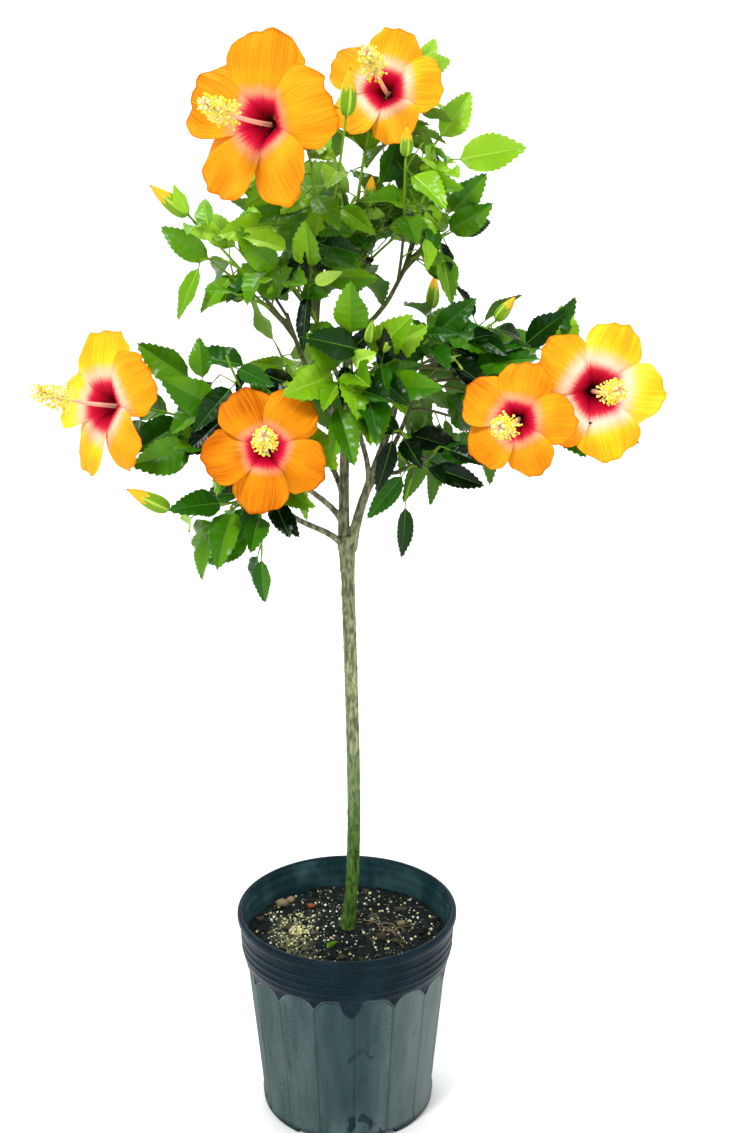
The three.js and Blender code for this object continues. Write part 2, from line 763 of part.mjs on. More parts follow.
function leafGeometry({ root, length, petiole, along, side, normal }, grow = 0) {
  const base = root.clone().addScaledVector(along, petiole);
  const thickness = Math.max(1, length * LEAF_THICKNESS);
  const blade = (part) => base.clone()
    .addScaledVector(along, part * length)
    .addScaledVector(normal, -LEAF_BEND * length * part * part);
  const ring = (centre, half, depth) => bladeRing(centre, side, normal, half, depth, grow);
  const neck = root.clone().addScaledVector(along, 0.4 * petiole);
  return loft([
    [root.clone().addScaledVector(along, -0.5)],
    ring(neck, PETIOLE_RADIUS, 1.5 * PETIOLE_RADIUS),
    ring(blade(LEAF_WIDEST), LEAF_HALF_WIDTH * length, thickness),
    [blade(1).addScaledVector(along, 2 * grow)],
  ]);
}

// Blooms: five broad petals from a calyx, round a column that ends in a brush
function bloomFrame(end) {
  const axis = facing(end);
  const across = new THREE.Vector3().crossVectors(UP, axis).normalize();
  const up = new THREE.Vector3().crossVectors(axis, across);
  return { throat: vector(end.place), axis, across, up };
}

function petalGeometry(end, k, grow = 0) {
  const { throat, axis, across, up } = bloomFrame(end);
  const angle = THREE.MathUtils.degToRad(end.roll) + (2 * Math.PI * k) / PETALS;
  const outward = across.clone().multiplyScalar(Math.cos(angle)).addScaledVector(up, Math.sin(angle));
  const side = new THREE.Vector3().crossVectors(axis, outward).applyAxisAngle(outward, PETAL_TWIST);
  const centres = PETAL_STATIONS.map(([out, forward]) => throat.clone()
    .addScaledVector(outward, out * end.reach)
    .addScaledVector(axis, (forward + end.cup * out * out) * end.reach));
  const rings = centres.map((centre, i) => {
    const before = centres[Math.max(i - 1, 0)];
    const after = centres[Math.min(i + 1, centres.length - 1)];
    const along = after.clone().sub(before).normalize();
    const normal = new THREE.Vector3().crossVectors(along, side).normalize();
    return bladeRing(centre, side, normal, PETAL_STATIONS[i][2] * end.reach, PETAL_THICKNESS, grow);
  });
  return loft(rings);
}

function columnGeometry(end, grow = 0) {
  const { throat, axis, up } = bloomFrame(end);
  const rings = COLUMN_STATIONS.map(([forward, radius]) => {
    const rise = COLUMN_RISE * (Math.max(forward, 0) / 90) ** 2;
    const centre = throat.clone().addScaledVector(axis, forward).addScaledVector(up, rise);
    return radius > 0 ? roundRing(centre, axis, up, radius + grow, 5) : [centre];
  });
  return loft(rings);
}

function calyxGeometry(end, grow = 0) {
  const { throat, axis, up } = bloomFrame(end);
  const turned = up.applyAxisAngle(axis, THREE.MathUtils.degToRad(end.roll + CALYX_TURN));
  return loft(CALYX_STATIONS.map(([forward, radius]) => {
    const centre = throat.clone().addScaledVector(axis, forward);
    return roundRing(centre, axis, turned, radius + grow, PETALS);
  }));
}

function budGeometry(shoot, grow = 0) {
  const { length } = shoot.end;
  const start = shoot.curve.getPoint(1);
  const axis = vector(shoot.end.place).sub(start).normalize();
  const aside = squareTo(axis);
  const girth = 2 + length * 0.12;
  return loft(BUD_STATIONS.map(([part, share]) => {
    const centre = start.clone().addScaledVector(axis, part * length);
    return share > 0 ? roundRing(centre, axis, aside, share * girth + grow, 5) : [centre];
  }));
}

function endGeometries(shoot, grow = 0) {
  if (shoot.end.kind === "bud") return [budGeometry(shoot, grow)];
  if (shoot.end.kind !== "bloom") return [];
  const petals = Array.from({ length: PETALS }, (_, k) => petalGeometry(shoot.end, k, grow));
  return [...petals, columnGeometry(shoot.end, grow), calyxGeometry(shoot.end, grow)];
}

// The bare mass: stem, shoots, blooms and buds
function makeMass({ name, bough, ends }, number) {
  const carrier = limbs.find((one) => one.name === bough);
  const stem = makeStem(carrier);
  const shoots = ends.map((end, k) => makeShoot(stem, end, (k + 0.5) / ends.length, number * 100 + k));
  const stemRadius = (t) => mix(carrier.tipRadius, STEM_TIP_RADIUS, t);
  const twigs = [limb(stem, stemRadius, 3, 2), ...shoots.map(shootGeometry)];
  const flowers = shoots.flatMap((shoot) => endGeometries(shoot));
  const bones = shoots.flatMap((shoot) => shoot.curve.getPoints(BONES).slice(1));
  return { name, shoots, bones, twigs: twigs.map(body), flowers: flowers.map(body), leaves: [] };
}

const masses = MASSES.map(makeMass);
const limbBodies = limbs.map((one) => body(toGeometry(one.solid)));

const nearest = (bones, point) => Math.min(...bones.map((bone) => bone.distanceTo(point)));

// A leaf belongs where its own mass is nearer than any other, give or take the shared space
function inOwnSpace(mass, place) {
  const own = nearest(mass.bones, place);
  return masses.every((other) => other === mass || nearest(other.bones, place) > own - SHARED_SPACE);
}

// A leaf that would close one of the crown's openings
function closesOpening({ root, along, side, petiole, length }) {
  const viewer = vector(VIEWER);
  return LEAF_SPREAD.some(([part, aside]) => {
    const place = root.clone().addScaledVector(along, petiole + part * length);
    place.addScaledVector(side, aside * length);
    const seen = viewer.clone().lerp(place, -viewer.y / (place.y - viewer.y));
    return OPENINGS.some(([x, z, radius]) => Math.hypot(seen.x - x, seen.z - z) < radius);
  });
}

function isFree(mass, shape, ownTwig) {
  const { root, along, petiole, length } = shape;
  const middle = root.clone().addScaledVector(along, petiole + length / 2);
  const tip = root.clone().addScaledVector(along, petiole + length);
  if (!inOwnSpace(mass, middle) || !inOwnSpace(mass, tip)) return false;
  const grown = body(leafGeometry(shape, LEAF_CLEARANCE));
  const pieces = masses.flatMap(({ twigs, flowers, leaves }) => [...twigs, ...flowers, ...leaves]);
  const solids = [...limbBodies, ...pieces];
  return !solids.some((other) => other !== ownTwig && touches(grown, other));
}

function addLeaf(mass, shoot, shapes) {
  const ownTwig = mass.twigs[mass.shoots.indexOf(shoot) + 1];
  const hidesNothing = (one) => shapes.length === 1 || !closesOpening(one);
  const shape = shapes.find((one) => hidesNothing(one) && isFree(mass, one, ownTwig));
  if (shape) mass.leaves.push(body(leafGeometry(shape)));
}

// Leaves are dealt out from the tips inwards, one to each shoot of each mass in turn
function addLeaves() {
  const dealt = (mass) => mass.shoots.map((shoot) => ({ mass, shoot, traits: leafTraits(shoot) }));
  const shoots = masses.flatMap(dealt);
  for (const { mass, shoot } of shoots) {
    if (shoot.end.kind === "leaf") addLeaf(mass, shoot, [tipLeaf(shoot)]);
  }
  const rounds = Math.max(...shoots.map(({ traits }) => traits.length));
  for (let round = 1; round <= rounds; round++) {
    for (const { mass, shoot, traits } of shoots) {
      const trait = traits[traits.length - round];
      if (trait) addLeaf(mass, shoot, LEAF_TRIES.map((attempt) => sideLeaf(shoot, trait, attempt)));
    }
  }
}

addLeaves();

// The named pieces
const plant = new THREE.Group();

function addPiece(name, geometry, colour, roughness) {
  const material = new THREE.MeshStandardMaterial({ color: colour, roughness, metalness: 0 });
  const mesh = new THREE.Mesh(geometry, material);
  mesh.name = name;
  plant.add(mesh);
}

addPiece("pot", makePot(), POT_COLOUR, 0.45);
addPiece("potting_mix", makeMix(), MIX_COLOUR, 0.95);
for (const { name, solid, colour } of limbs) {
  addPiece(name, toGeometry(solid), colour, 0.85);
}
for (const { name, twigs, flowers, leaves } of masses) {
  const whole = joined([...twigs, ...flowers, ...leaves].map((one) => one.solid));
  addPiece(name, toGeometry(mainPiece(whole)), FOLIAGE_COLOUR, 0.4);
}

export default plant;
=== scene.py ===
# Looks for a hibiscus grown as a standard in a round nursery pot, built round the packed
# solids. Lengths are millimetres until a mesh is made, and the frame is that of the solids:
# +Z up, the origin in the middle of the pot's underside, and the plant seen from -Y.

import math
from types import SimpleNamespace

import bpy
import numpy as np
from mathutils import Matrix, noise
from mathutils.bvhtree import BVHTree
from mathutils.kdtree import KDTree


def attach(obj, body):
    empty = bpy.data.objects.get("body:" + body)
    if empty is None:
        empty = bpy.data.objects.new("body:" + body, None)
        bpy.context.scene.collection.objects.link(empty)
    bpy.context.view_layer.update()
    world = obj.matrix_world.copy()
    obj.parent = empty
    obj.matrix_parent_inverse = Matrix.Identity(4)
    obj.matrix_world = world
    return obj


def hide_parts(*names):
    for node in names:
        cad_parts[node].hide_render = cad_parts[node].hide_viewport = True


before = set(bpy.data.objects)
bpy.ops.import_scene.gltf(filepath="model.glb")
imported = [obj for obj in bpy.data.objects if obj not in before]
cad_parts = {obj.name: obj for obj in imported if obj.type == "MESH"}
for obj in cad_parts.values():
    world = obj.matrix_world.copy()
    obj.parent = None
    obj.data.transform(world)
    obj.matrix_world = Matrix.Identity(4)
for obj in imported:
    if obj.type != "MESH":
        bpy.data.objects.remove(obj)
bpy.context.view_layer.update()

MM = 0.001
UP = np.array([0.0, 0.0, 1.0])

# Camera: the photo's viewing angle
CAMERA_PLACE = (0.0326, -1.7, 1.2)
CAMERA_DOWN = math.radians(17.5)
CAMERA_FOCAL = 1638
SENSOR = 36
PHOTO_SIZE = (750, 1133)

# Where the crown is open and light shows through it, seen from the side that the plant shows:
# across and up on the plane through the trunk, and the radius
VIEWER = np.array([32.6, -1700, 1200])
OPENINGS = [
    (-82, 930, 20), (-116, 899, 14), (-120, 930, 12), (65, 996, 16), (76, 971, 8), (-19, 750, 12),
    (44, 765, 13), (-149, 772, 10), (-206, 774, 14), (-222, 984, 35), (-185, 992, 20), (-151, 998, 10),
    (-227, 1040, 28), (154, 992, 35), (181, 1030, 30), (132, 1023, 10), (135, 1074, 12), (180, 1069, 22),
    (150, 1141, 26), (120, 1125, 7), (115, 1181, 7), (204, 955, 13), (223, 992, 31), (-207, 712, 26),
    (-251, 726, 26), (-138, 651, 16), (-122, 705, 8), (-66, 671, 26), (-50, 626, 33), (-187, 614, 29),
    (108, 713, 28), (79, 763, 9), (44, 705, 10), (146, 722, 26), (197, 739, 24), (223, 774, 10),
    (-179, 1108, 24), (-201, 878, 7), (-281, 906, 23), (-166, 996, 22), (-104, 992, 14), (-70, 1006, 7),
    (-172, 961, 11), (-93, 931, 17), (10, 1063, 8), (41, 1072, 7), (57, 1060, 7), (23, 1107, 7),
    (64, 1106, 7), (124, 1147, 8), (126, 1020, 20), (86, 960, 11), (135, 936, 7), (-120, 895, 13),
    (-171, 851, 7), (-200, 781, 12), (-173, 756, 14), (-191, 677, 16), (35, 736, 8), (58, 763, 8),
    (86, 727, 17), (129, 760, 7),
]
LEAF_SPREAD = [(0.35, 0.24), (0.35, -0.24), (0.7, 0.13), (0.7, -0.13), (1, 0)]

# Trunk: from its flat cut at the mix to the fork
MIX_SEAT_HEIGHT = 222
CLEARANCE = 0.3
FORK_HEIGHT = 700
TRUNK_BOW = [(0.21, 16), (0.62, 5)]
TRUNK_LEAN = 2
TRUNK_RADIUS = 7.3
TRUNK_FLARE = 3.2
TRUNK_SWELL = 2.4

# Boughs: name, parent, how far up that, the tip, the radius at both ends, and how far to +X
# of the parent's middle it starts
BOUGHS = [
    ("bough_leader", "trunk", 0.97, (3, 6, 934), (5.8, 3.4), -3.5),
    ("bough_right", "trunk", 0.97, (56, -25, 856), (5.4, 3.2), 4.5),
    ("bough_left_low", "trunk", 0.965, (-64, -48, 744), (3.6, 2.5), 0),
    ("bough_left_mid", "bough_leader", 0.1, (-56, -35, 781), (3.4, 2.4), 0),
    ("bough_left_high", "bough_leader", 0.46, (-45, -26, 905), (3.2, 2.3), 0),
    ("bough_left_upright", "bough_leader", 0.66, (-22, -34, 918), (2.8, 2.2), 0),
    ("bough_right_low", "bough_right", 0.5, (59, -36, 780), (2.9, 2.2), 0),
    ("bough_right_high", "bough_leader", 0.84, (51, 5, 961), (2.9, 2.3), 0),
    ("bough_front", "bough_right", 0.42, (12, -52, 848), (2.9, 2.3), 0),
    ("bough_back_left", "bough_leader", 0.22, (-48, 60, 825), (3.2, 2.4), 0),
    ("bough_back_right", "bough_right", 0.3, (66, 58, 815), (3.2, 2.4), 0),
    ("bough_back_high", "bough_leader", 0.72, (8, 56, 935), (2.9, 2.3), 0),
]
BOUGH_COLLAR = 0.2
BOUGH_PULL = 0.36
BOUGH_LEAVING = 0.45
BOUGH_ARRIVING = 0.75

# Twigs: a mass's stem, and the shoots that leave it between two heights
STEM_LENGTH = 42
STEM_TIP_RADIUS = 2.6
SHOOTS_LEAVE = (0.2, 0.95)
SHOOT_RADIUS = (1.7, 1.2)
SHOOT_STEPS = 4
SHOOT_PULL = 0.38
SHOOT_LEAVING = 0.25
BUD_LEAN = 0.7
LEAF_DROP = 0.12
HANGING_DROP = 2.2

# Leaves, as the solids have them
INTERNODE = 20
LEAVES_START = 0.17
LEAVES_END = 0.97
LEAF_LENGTH = 66
LEAF_BEND = 0.16
PETIOLE_SHARE = 0.14
TIP_LEAF_AT = 0.98
LEAN_TO_TWIG = 0.45
LEAN_OUTWARD = 0.35
LIGHT_OPEN = 0.95
SIDE_LIGHT = SimpleNamespace(up=0.65, middle=30)
TIP_LIGHT = SimpleNamespace(up=0.3, middle=90)
LIGHT_OUTWARD = 0.4
LEAF_SEED = 5000
LEAF_TRIES = [(0, 1), (0.8, 1), (-0.8, 1), (1.6, 0.8), (-1.6, 0.8), (2.6, 0.8)]
CROWN_BLEND = 60
GOLDEN_ANGLE = math.radians(137.5)

# Finer growth: side twigs on the shoots, and how it keeps to the solids' reach
SIDE_TWIG_PITCH = 34
SIDE_TWIG_LENGTH = (24, 30)
SIDE_TWIG_INTERNODE = 9
SIDE_TWIG_SEED = 9000
FINE_LEAF_LENGTH = 44
MATCH_WITHIN = 0.4
FINE_REACH = 11
FINE_SPACING = 13
BLOOM_VIEW = (-12, 120)
BLOOM_CLEAR = 0.95
BLOOM_SHOWN = 0.92

# Blooms
PETALS = 5
PETAL_TWIST = math.radians(13)
CALYX_BACK = 34
COLUMN_RISE = 9
COLUMN_LENGTH = 90


def bloom(place, turn, lift, reach, roll, cup, gold=0.45, lit=0.0, throat=0.25, halo=0.3):
    """Gold is how yellow the petals are, lit how much more so on one side, throat how far the
    dark middle reaches, and halo how pale the ring round it is."""
    return SimpleNamespace(
        kind="bloom", place=place, turn=turn, lift=lift, reach=reach, roll=roll, cup=cup, gold=gold,
        lit=lit, throat=throat, halo=halo,
    )


def bud(place, length, lean=BUD_LEAN):
    return SimpleNamespace(kind="bud", place=place, length=length, lean=lean)


def leaf(place, drop=LEAF_DROP, length=None):
    return SimpleNamespace(kind="leaf", place=place, drop=drop, length=length)


def hanging(place):
    return leaf(place, HANGING_DROP)


# Masses: the bough that carries each one, and the ends of its shoots
MASSES = [
    ("foliage_top", "bough_leader", [
        bloom((43, 10, 1161), -13, 21, 60, 8, 0.16, 0.55, 0.1, 0.27, 0.75), bud((30, -10, 1080), 32),
        leaf((96, 45, 1212), 0.3, 46), leaf((112, 45, 1192), 0.8, 50), leaf((132, 25, 1160)),
        leaf((-12, -35, 1116)), leaf((30, 70, 1150)), leaf((95, 75, 1090)),
    ]),
    ("foliage_high_left", "bough_left_upright", [
        bloom((-70, -150, 1136), -32, 8, 83, 14, 0.04, 0.38, 0.08, 0.23, 0.2), bud((9, -65, 1184), 46),
        leaf((-135, -70, 1060)), leaf((-100, -95, 1030)), leaf((-35, -115, 1040)), leaf((-90, -20, 1100)),
    ]),
    ("foliage_upper_left", "bough_left_high", [
        bud((-190, -45, 1073), 48, 1.25), leaf((-185, -25, 1030)), hanging((-170, -50, 940)),
        leaf((-157, -60, 917), 0.75, 66), leaf((-150, 40, 1040)),
    ]),
    ("foliage_left", "bough_left_mid", [
        bloom((-240, -60, 855), -45, 12, 75, 32, -0.04, 0.68, -0.2, 0.27, 0.7), leaf((-210, -45, 915)),
        leaf((-90, -60, 899), 0.9, 42), leaf((-180, -85, 885)), leaf((-215, -85, 800)),
        leaf((-175, 0, 840)), leaf((-126, -65, 952), -0.9, 46),
    ]),
    ("foliage_lower_left", "bough_left_low", [
        bloom((-76, -110, 821), 3, 17, 66, 49, -0.16, 0.2, 0.06, 0.25, 0.1), bud((-220, -90, 775), 50),
        leaf((-90, -120, 775)), hanging((-152, -75, 670)), hanging((-127, -70, 695)),
        hanging((-85, -85, 648)), hanging((-99, -45, 718)),
    ]),
    ("foliage_upper_right", "bough_right_high", [
        bud((64, -50, 1131), 32), leaf((186, 0, 1108), 0.6, 78), leaf((145, -15, 1080)),
        leaf((150, -20, 1052)), leaf((120, 20, 1135)), hanging((112, -45, 957)), hanging((80, -25, 938)),
        leaf((160, 60, 1030)),
    ]),
    ("foliage_right", "bough_right", [
        bloom((254, -80, 873), 8, 8, 70, 70, 0.03, 0.78, 0.32, 0.28, 0.9),
        bloom((173, -110, 850), -16, 3, 60, 10, -0.06, 0.4, 0.06, 0.27, 0.3), bud((175, -35, 962), 32),
        leaf((240, -20, 958), -0.8, 52), leaf((135, -45, 960)), leaf((310, -40, 812)),
        leaf((215, 40, 900)),
    ]),
    ("foliage_lower_right", "bough_right_low", [
        leaf((146, -60, 771)), leaf((108, -50, 760)), hanging((62, -60, 690)), hanging((36, -90, 770)),
        leaf((26, -75, 738)), leaf((110, -95, 820)), leaf((150, 0, 800)),
    ]),
    ("foliage_front", "bough_front", [
        bud((30, -110, 950), 26), bud((48, -112, 938), 24), leaf((95, -120, 885)),
        hanging((-20, -100, 795)), leaf((-30, -120, 935)), leaf((10, -130, 985)), leaf((66, -105, 950)),
        leaf((20, -150, 900)), leaf((84, -75, 938)), leaf((-48, -90, 962)),
    ]),
    ("foliage_back_left", "bough_back_left", [
        bloom((-94, 150, 762), 205, 12, 62, 30, 0, 0.4), leaf((-170, 70, 890)), leaf((-60, 190, 850)),
        leaf((-110, 100, 950)), hanging((-90, 90, 700)), leaf((0, 150, 800)),
    ]),
    ("foliage_back_right", "bough_back_right", [
        bloom((193, 120, 808), 140, 10, 62, 50, 0.02, 0.5), leaf((120, 180, 880)), leaf((190, 90, 950)),
        bud((100, 150, 960), 40), hanging((100, 110, 705)), leaf((60, 190, 830)),
    ]),
    ("foliage_back_high", "bough_back_high", [
        bud((-70, 150, 1120), 46), bud((60, 150, 1110), 36), leaf((-120, 110, 1050)),
        leaf((-20, 110, 1140)), leaf((110, 150, 1040)), leaf((40, 200, 1020)),
    ]),
]
BLOOMS = [end for *_, ends in MASSES for end in ends if end.kind == "bloom"]
LEAF_PIECES = {
    "leaves_upper": ["foliage_top", "foliage_high_left", "foliage_upper_left", "foliage_upper_right"],
    "leaves_lower": [
        "foliage_left", "foliage_lower_left", "foliage_right", "foliage_lower_right", "foliage_front",
    ],
    "leaves_back": ["foliage_back_left", "foliage_back_right", "foliage_back_high"],
}


# Sums with places and directions
def unit(vector):
    return vector / np.linalg.norm(vector)


def blend(one, share, other):
    """A direction between two, with a share of the first."""
    return unit(share * one + (1 - share) * other)


def mix(low, high, share):
    return low + (high - low) * share


def smooth_step(value, low, high):
    share = np.clip((value - low) / (high - low), 0, 1)
    return share * share * (3 - 2 * share)


def turned(vector, axis, angle):
    """A direction turned about an axis."""
    return (
        vector * math.cos(angle)
        + np.cross(axis, vector) * math.sin(angle)
        + axis * (axis @ vector) * (1 - math.cos(angle))
    )


def square_to(direction):
    aside = UP if abs(direction[2]) < 0.9 else np.array([0.0, 1.0, 0.0])
    return unit(np.cross(aside, direction))


def around(one, other, turn):
    """A direction at a turn from one towards another that is square to it."""
    return one * math.cos(turn) + other * math.sin(turn)


def level_way(turn):
    return np.array([math.cos(turn), math.sin(turn), 0])


def turns_of(count):
    """Even turns round a circle."""
    return np.arange(count) * 2 * math.pi / count


def level_ring(turns, reach, height):
    """Places round the Z axis."""
    return np.stack([np.cos(turns) * reach, np.sin(turns) * reach, np.full(len(turns), float(height))], -1)


def outward_at(place):
    """Level, and away from the middle of the crown."""
    return unit(np.array([place[0], place[1], 0.0]))


def random(seed):
    """Steady numbers from 0 to 1, the same as the solids draw from that seed."""
    state = (seed + 1) * 2654435761 % 2**32
    while True:
        state = (state * 1664525 + 1013904223) % 2**32
        yield state / 2**32


class Path:
    """A cubic curve through its first and last place."""

    def __init__(self, *controls):
        self.controls = np.array(controls, float)

    def at(self, t):
        t = np.asarray(t, float)
        rest = 1 - t
        weights = np.array([rest**3, 3 * t * rest**2, 3 * t * t * rest, t**3])
        return weights.T @ self.controls

    def tangent(self, t):
        rest = 1 - t
        weights = np.array([rest**2, 2 * t * rest, t * t])
        return unit(weights @ np.diff(self.controls, axis=0))


def path(start, leaving, end, arriving, pull):
    reach = np.linalg.norm(end - start) * pull
    return Path(start, start + leaving * reach, end - arriving * reach, end)


# Meshes
class Joined:
    """Many small shapes that become one mesh, with a material for each face."""

    def __init__(self):
        self.points, self.faces, self.looks, self.count = [], [], [], 0

    def add(self, points, faces, looks=0):
        """Faces is a list of arrays of corner numbers. Looks is a number, or an array for each."""
        self.points.append(np.asarray(points, float))
        for i, group in enumerate(faces):
            self.faces.append(np.asarray(group) + self.count)
            look = looks if np.isscalar(looks) else looks[i]
            self.looks.append(np.broadcast_to(look, len(group)))
        self.count += len(points)

    def make(self, name, materials, smooth=True):
        mesh = bpy.data.meshes.new(name)
        points = np.concatenate(self.points) * MM
        corners = np.concatenate([group.ravel() for group in self.faces])
        sizes = np.concatenate([np.full(len(group), group.shape[1]) for group in self.faces])
        mesh.vertices.add(len(points))
        mesh.vertices.foreach_set("co", points.astype(np.float32).ravel())
        mesh.loops.add(len(corners))
        mesh.loops.foreach_set("vertex_index", corners.astype(np.int32))
        mesh.polygons.add(len(sizes))
        starts = np.concatenate([[0], np.cumsum(sizes)[:-1]])
        mesh.polygons.foreach_set("loop_start", starts.astype(np.int32))
        looks = np.concatenate(self.looks)
        mesh.polygons.foreach_set("material_index", looks.astype(np.int32))
        mesh.polygons.foreach_set("use_smooth", np.full(len(sizes), smooth))
        for material in materials:
            mesh.materials.append(material)
        mesh.update(calc_edges=True)
        mesh.validate()
        made = bpy.data.objects.new(name, mesh)
        bpy.context.scene.collection.objects.link(made)
        return made


def grid_faces(rows, columns, wrap=False):
    """Quads between rows of points. Wrapped, the last column joins the first."""
    across = np.arange(columns if wrap else columns - 1)
    up = np.arange(rows - 1)[:, None] * columns
    ahead = (across + 1) % columns
    return np.stack([up + across, up + ahead, up + columns + ahead, up + columns + across], -1).reshape(-1, 4)


def closed_faces(rows, columns):
    """Quads between rings of points, and one flat face at each end."""
    ring = np.arange(columns)
    return [grid_faces(rows, columns, True), ring[None, ::-1], ((rows - 1) * columns + ring)[None, :]]


def single(name, points, faces, materials, smooth=True):
    """A mesh of one shape."""
    joined = Joined()
    joined.add(points, faces)
    return joined.make(name, materials, smooth)


def apply_modifiers(made):
    mesh = bpy.data.meshes.new_from_object(made.evaluated_get(bpy.context.evaluated_depsgraph_get()))
    made.modifiers.clear()
    made.data = mesh


def vectors_of(mesh, key):
    """A mesh's places, called co, or its normals."""
    values = np.zeros(len(mesh.vertices) * 3)
    mesh.vertices.foreach_get(key, values)
    return values.reshape(-1, 3)


def tube(centres, radii, sides):
    """A closed tube round a line of places."""
    centres = np.asarray(centres, float)
    along = np.gradient(centres, axis=0)
    along /= np.linalg.norm(along, axis=1)[:, None]
    side = square_to(along[0])
    turns = turns_of(sides)
    rings = []
    for centre, direction, radius in zip(centres, along, radii):
        side = unit(side - direction * (side @ direction))
        ring = np.outer(np.cos(turns), side) + np.outer(np.sin(turns), np.cross(direction, side))
        rings.append(centre + radius * ring)
    last = len(centres) * sides
    first = np.arange(sides)
    after = (first + 1) % sides
    foot = np.stack([after, first, np.full(sides, last)], -1)
    top = np.stack([last - sides + first, last - sides + after, np.full(sides, last + 1)], -1)
    points = np.concatenate([*rings, centres[:1], centres[-1:]])
    return points, [grid_faces(len(centres), sides, True), np.concatenate([foot, top])]


def finish_piece(made, slot, *nodes):
    """Sets what a piece rides on and hides the nodes it stands for. The slot is not used."""
    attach(made, "root")
    if nodes:
        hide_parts(*nodes)
    return made


# Materials
NOISE_ROUGHNESS = 0.55


class Value:
    """A node's output in a look. Sums with it add nodes."""

    def __init__(self, look, socket):
        self.look, self.socket = look, socket

    def __add__(self, other):
        return self.look.maths("ADD", self, other)

    def __sub__(self, other):
        return self.look.maths("SUBTRACT", self, other)

    def __rsub__(self, other):
        return self.look.maths("SUBTRACT", other, self)

    def __mul__(self, other):
        return self.look.maths("MULTIPLY", self, other)

    def __truediv__(self, other):
        return self.look.maths("DIVIDE", self, other)

    def __mod__(self, other):
        return self.look.maths("FLOORED_MODULO", self, other)

    def __pow__(self, other):
        return self.look.maths("POWER", self, other)

    def __abs__(self):
        return self.look.maths("ABSOLUTE", self)

    def between(self, low, high):
        """0 at low and before it, 1 at high and past it."""
        inputs = {0: self, 1: low, 2: high, 3: 0, 4: 1}
        return self.look.add("MapRange", inputs, interpolation_type="SMOOTHSTEP")


class Look:
    """A material, with nodes that are linked as they are added."""

    def __init__(self, name, **sockets):
        self.material = bpy.data.materials.new(name)
        self.material.use_nodes = True
        self.set(**sockets)

    def set(self, **sockets):
        shader = self.material.node_tree.nodes["Principled BSDF"]
        for key, value in sockets.items():
            self.put(value, shader.inputs[key.replace("_", " ")])
        return self.material

    def put(self, value, socket):
        if isinstance(value, Value):
            self.material.node_tree.links.new(value.socket, socket)
        elif isinstance(value, tuple) and socket.type == "RGBA":
            socket.default_value = (*value, 1)
        else:
            socket.default_value = value

    def add(self, kind, inputs, output=0, **settings):
        """Adds a node and returns its output. Inputs go by name or number."""
        made = self.material.node_tree.nodes.new("ShaderNode" + kind)
        for key, value in settings.items():
            setattr(made, key, value)
        for key, value in inputs.items():
            self.put(value, made.inputs[key])
        return Value(self, made.outputs[output])

    def axes(self):
        """How far along X, Y and Z a place is, in metres."""
        place = self.add("TexCoord", {}, "Object")
        return [self.add("SeparateXYZ", {0: place}, axis) for axis in "XYZ"]

    def noise(self, scale, detail=3, stretch=(1, 1, 1)):
        place = self.add("Mapping", {"Vector": self.add("TexCoord", {}, "Object"), "Scale": stretch})
        inputs = {"Vector": place, "Scale": scale, "Detail": detail, "Roughness": NOISE_ROUGHNESS}
        return self.add("TexNoise", inputs, "Fac")

    def maths(self, operation, one, other=0):
        return self.add("Math", {0: one, 1: other}, operation=operation)

    def mixed(self, share, one, other):
        """A mix of two colours, each from nodes or with values on a screen."""
        colours = [srgb(*c) if isinstance(c, tuple) else c for c in (one, other)]
        return self.add("Mix", {0: share, 6: colours[0], 7: colours[1]}, 2, data_type="RGBA")

    def bump(self, height, strength, distance):
        return self.add("Bump", {"Height": height, "Strength": strength, "Distance": distance})


def srgb(red, green, blue):
    """A colour from its values on a screen, 0 to 255."""
    values = [c / 255 for c in (red, green, blue)]
    return tuple(c / 12.92 if c <= 0.04045 else ((c + 0.055) / 1.055) ** 2.4 for c in values)


def plain_looks(name, colours, roughness, specular):
    """One plain material for each colour."""
    sockets = {"Roughness": roughness, "Specular_IOR_Level": specular}
    return [Look(f"{name}_{i}", Base_Color=srgb(*c), **sockets).material for i, c in enumerate(colours)]


# Trunk and boughs, by the source's rule
def trunk_radius(t):
    return TRUNK_RADIUS + TRUNK_FLARE * np.exp(-t / 0.045) + TRUNK_SWELL * smooth_step(t, 0.9, 1)


def make_limbs():
    foot = MIX_SEAT_HEIGHT + CLEARANCE
    height = FORK_HEIGHT - foot
    bow = [(x, 0, foot + up * height) for up, x in TRUNK_BOW]
    curve = Path((0, 0, foot), *bow, (TRUNK_LEAN, 0, FORK_HEIGHT))
    limbs = {"trunk": SimpleNamespace(curve=curve, radius=trunk_radius, tip_radius=TRUNK_RADIUS)}
    for name, parent, at, tip, radii, aside in BOUGHS:
        carrier = limbs[parent].curve
        start = carrier.at(at) + np.array([aside, 0, 0])
        end = np.array(tip, float)
        chord = unit(end - start)
        leaving = blend(carrier.tangent(at), BOUGH_LEAVING, chord)
        arriving = blend(chord, BOUGH_ARRIVING, UP)
        curve = path(start, leaving, end, arriving, BOUGH_PULL)

        def radius(t, radii=radii):
            return mix(radii[0], radii[1], t) * (1 + BOUGH_COLLAR * np.exp(-9 * t))

        limbs[name] = SimpleNamespace(curve=curve, radius=radius, tip_radius=radii[1])
    return limbs


LIMBS = make_limbs()

# Bark: how the mesh of all limbs is made, and its relief
BARK_VOXEL = 0.97
BARK_FORKS_ROUNDED = 6
BARK_GRAIN = 0.42
BARK_FURROW = 0.34
TRUNK_RINGS = 60
BOUGH_RINGS = 30
LIMB_SIDES = 14
KNOTS = 26
KNOT_SEED = 77


def limb_tube(limb, steps):
    t = np.linspace(0, 1, steps)
    return tube(limb.curve.at(t), limb.radius(t), LIMB_SIDES)


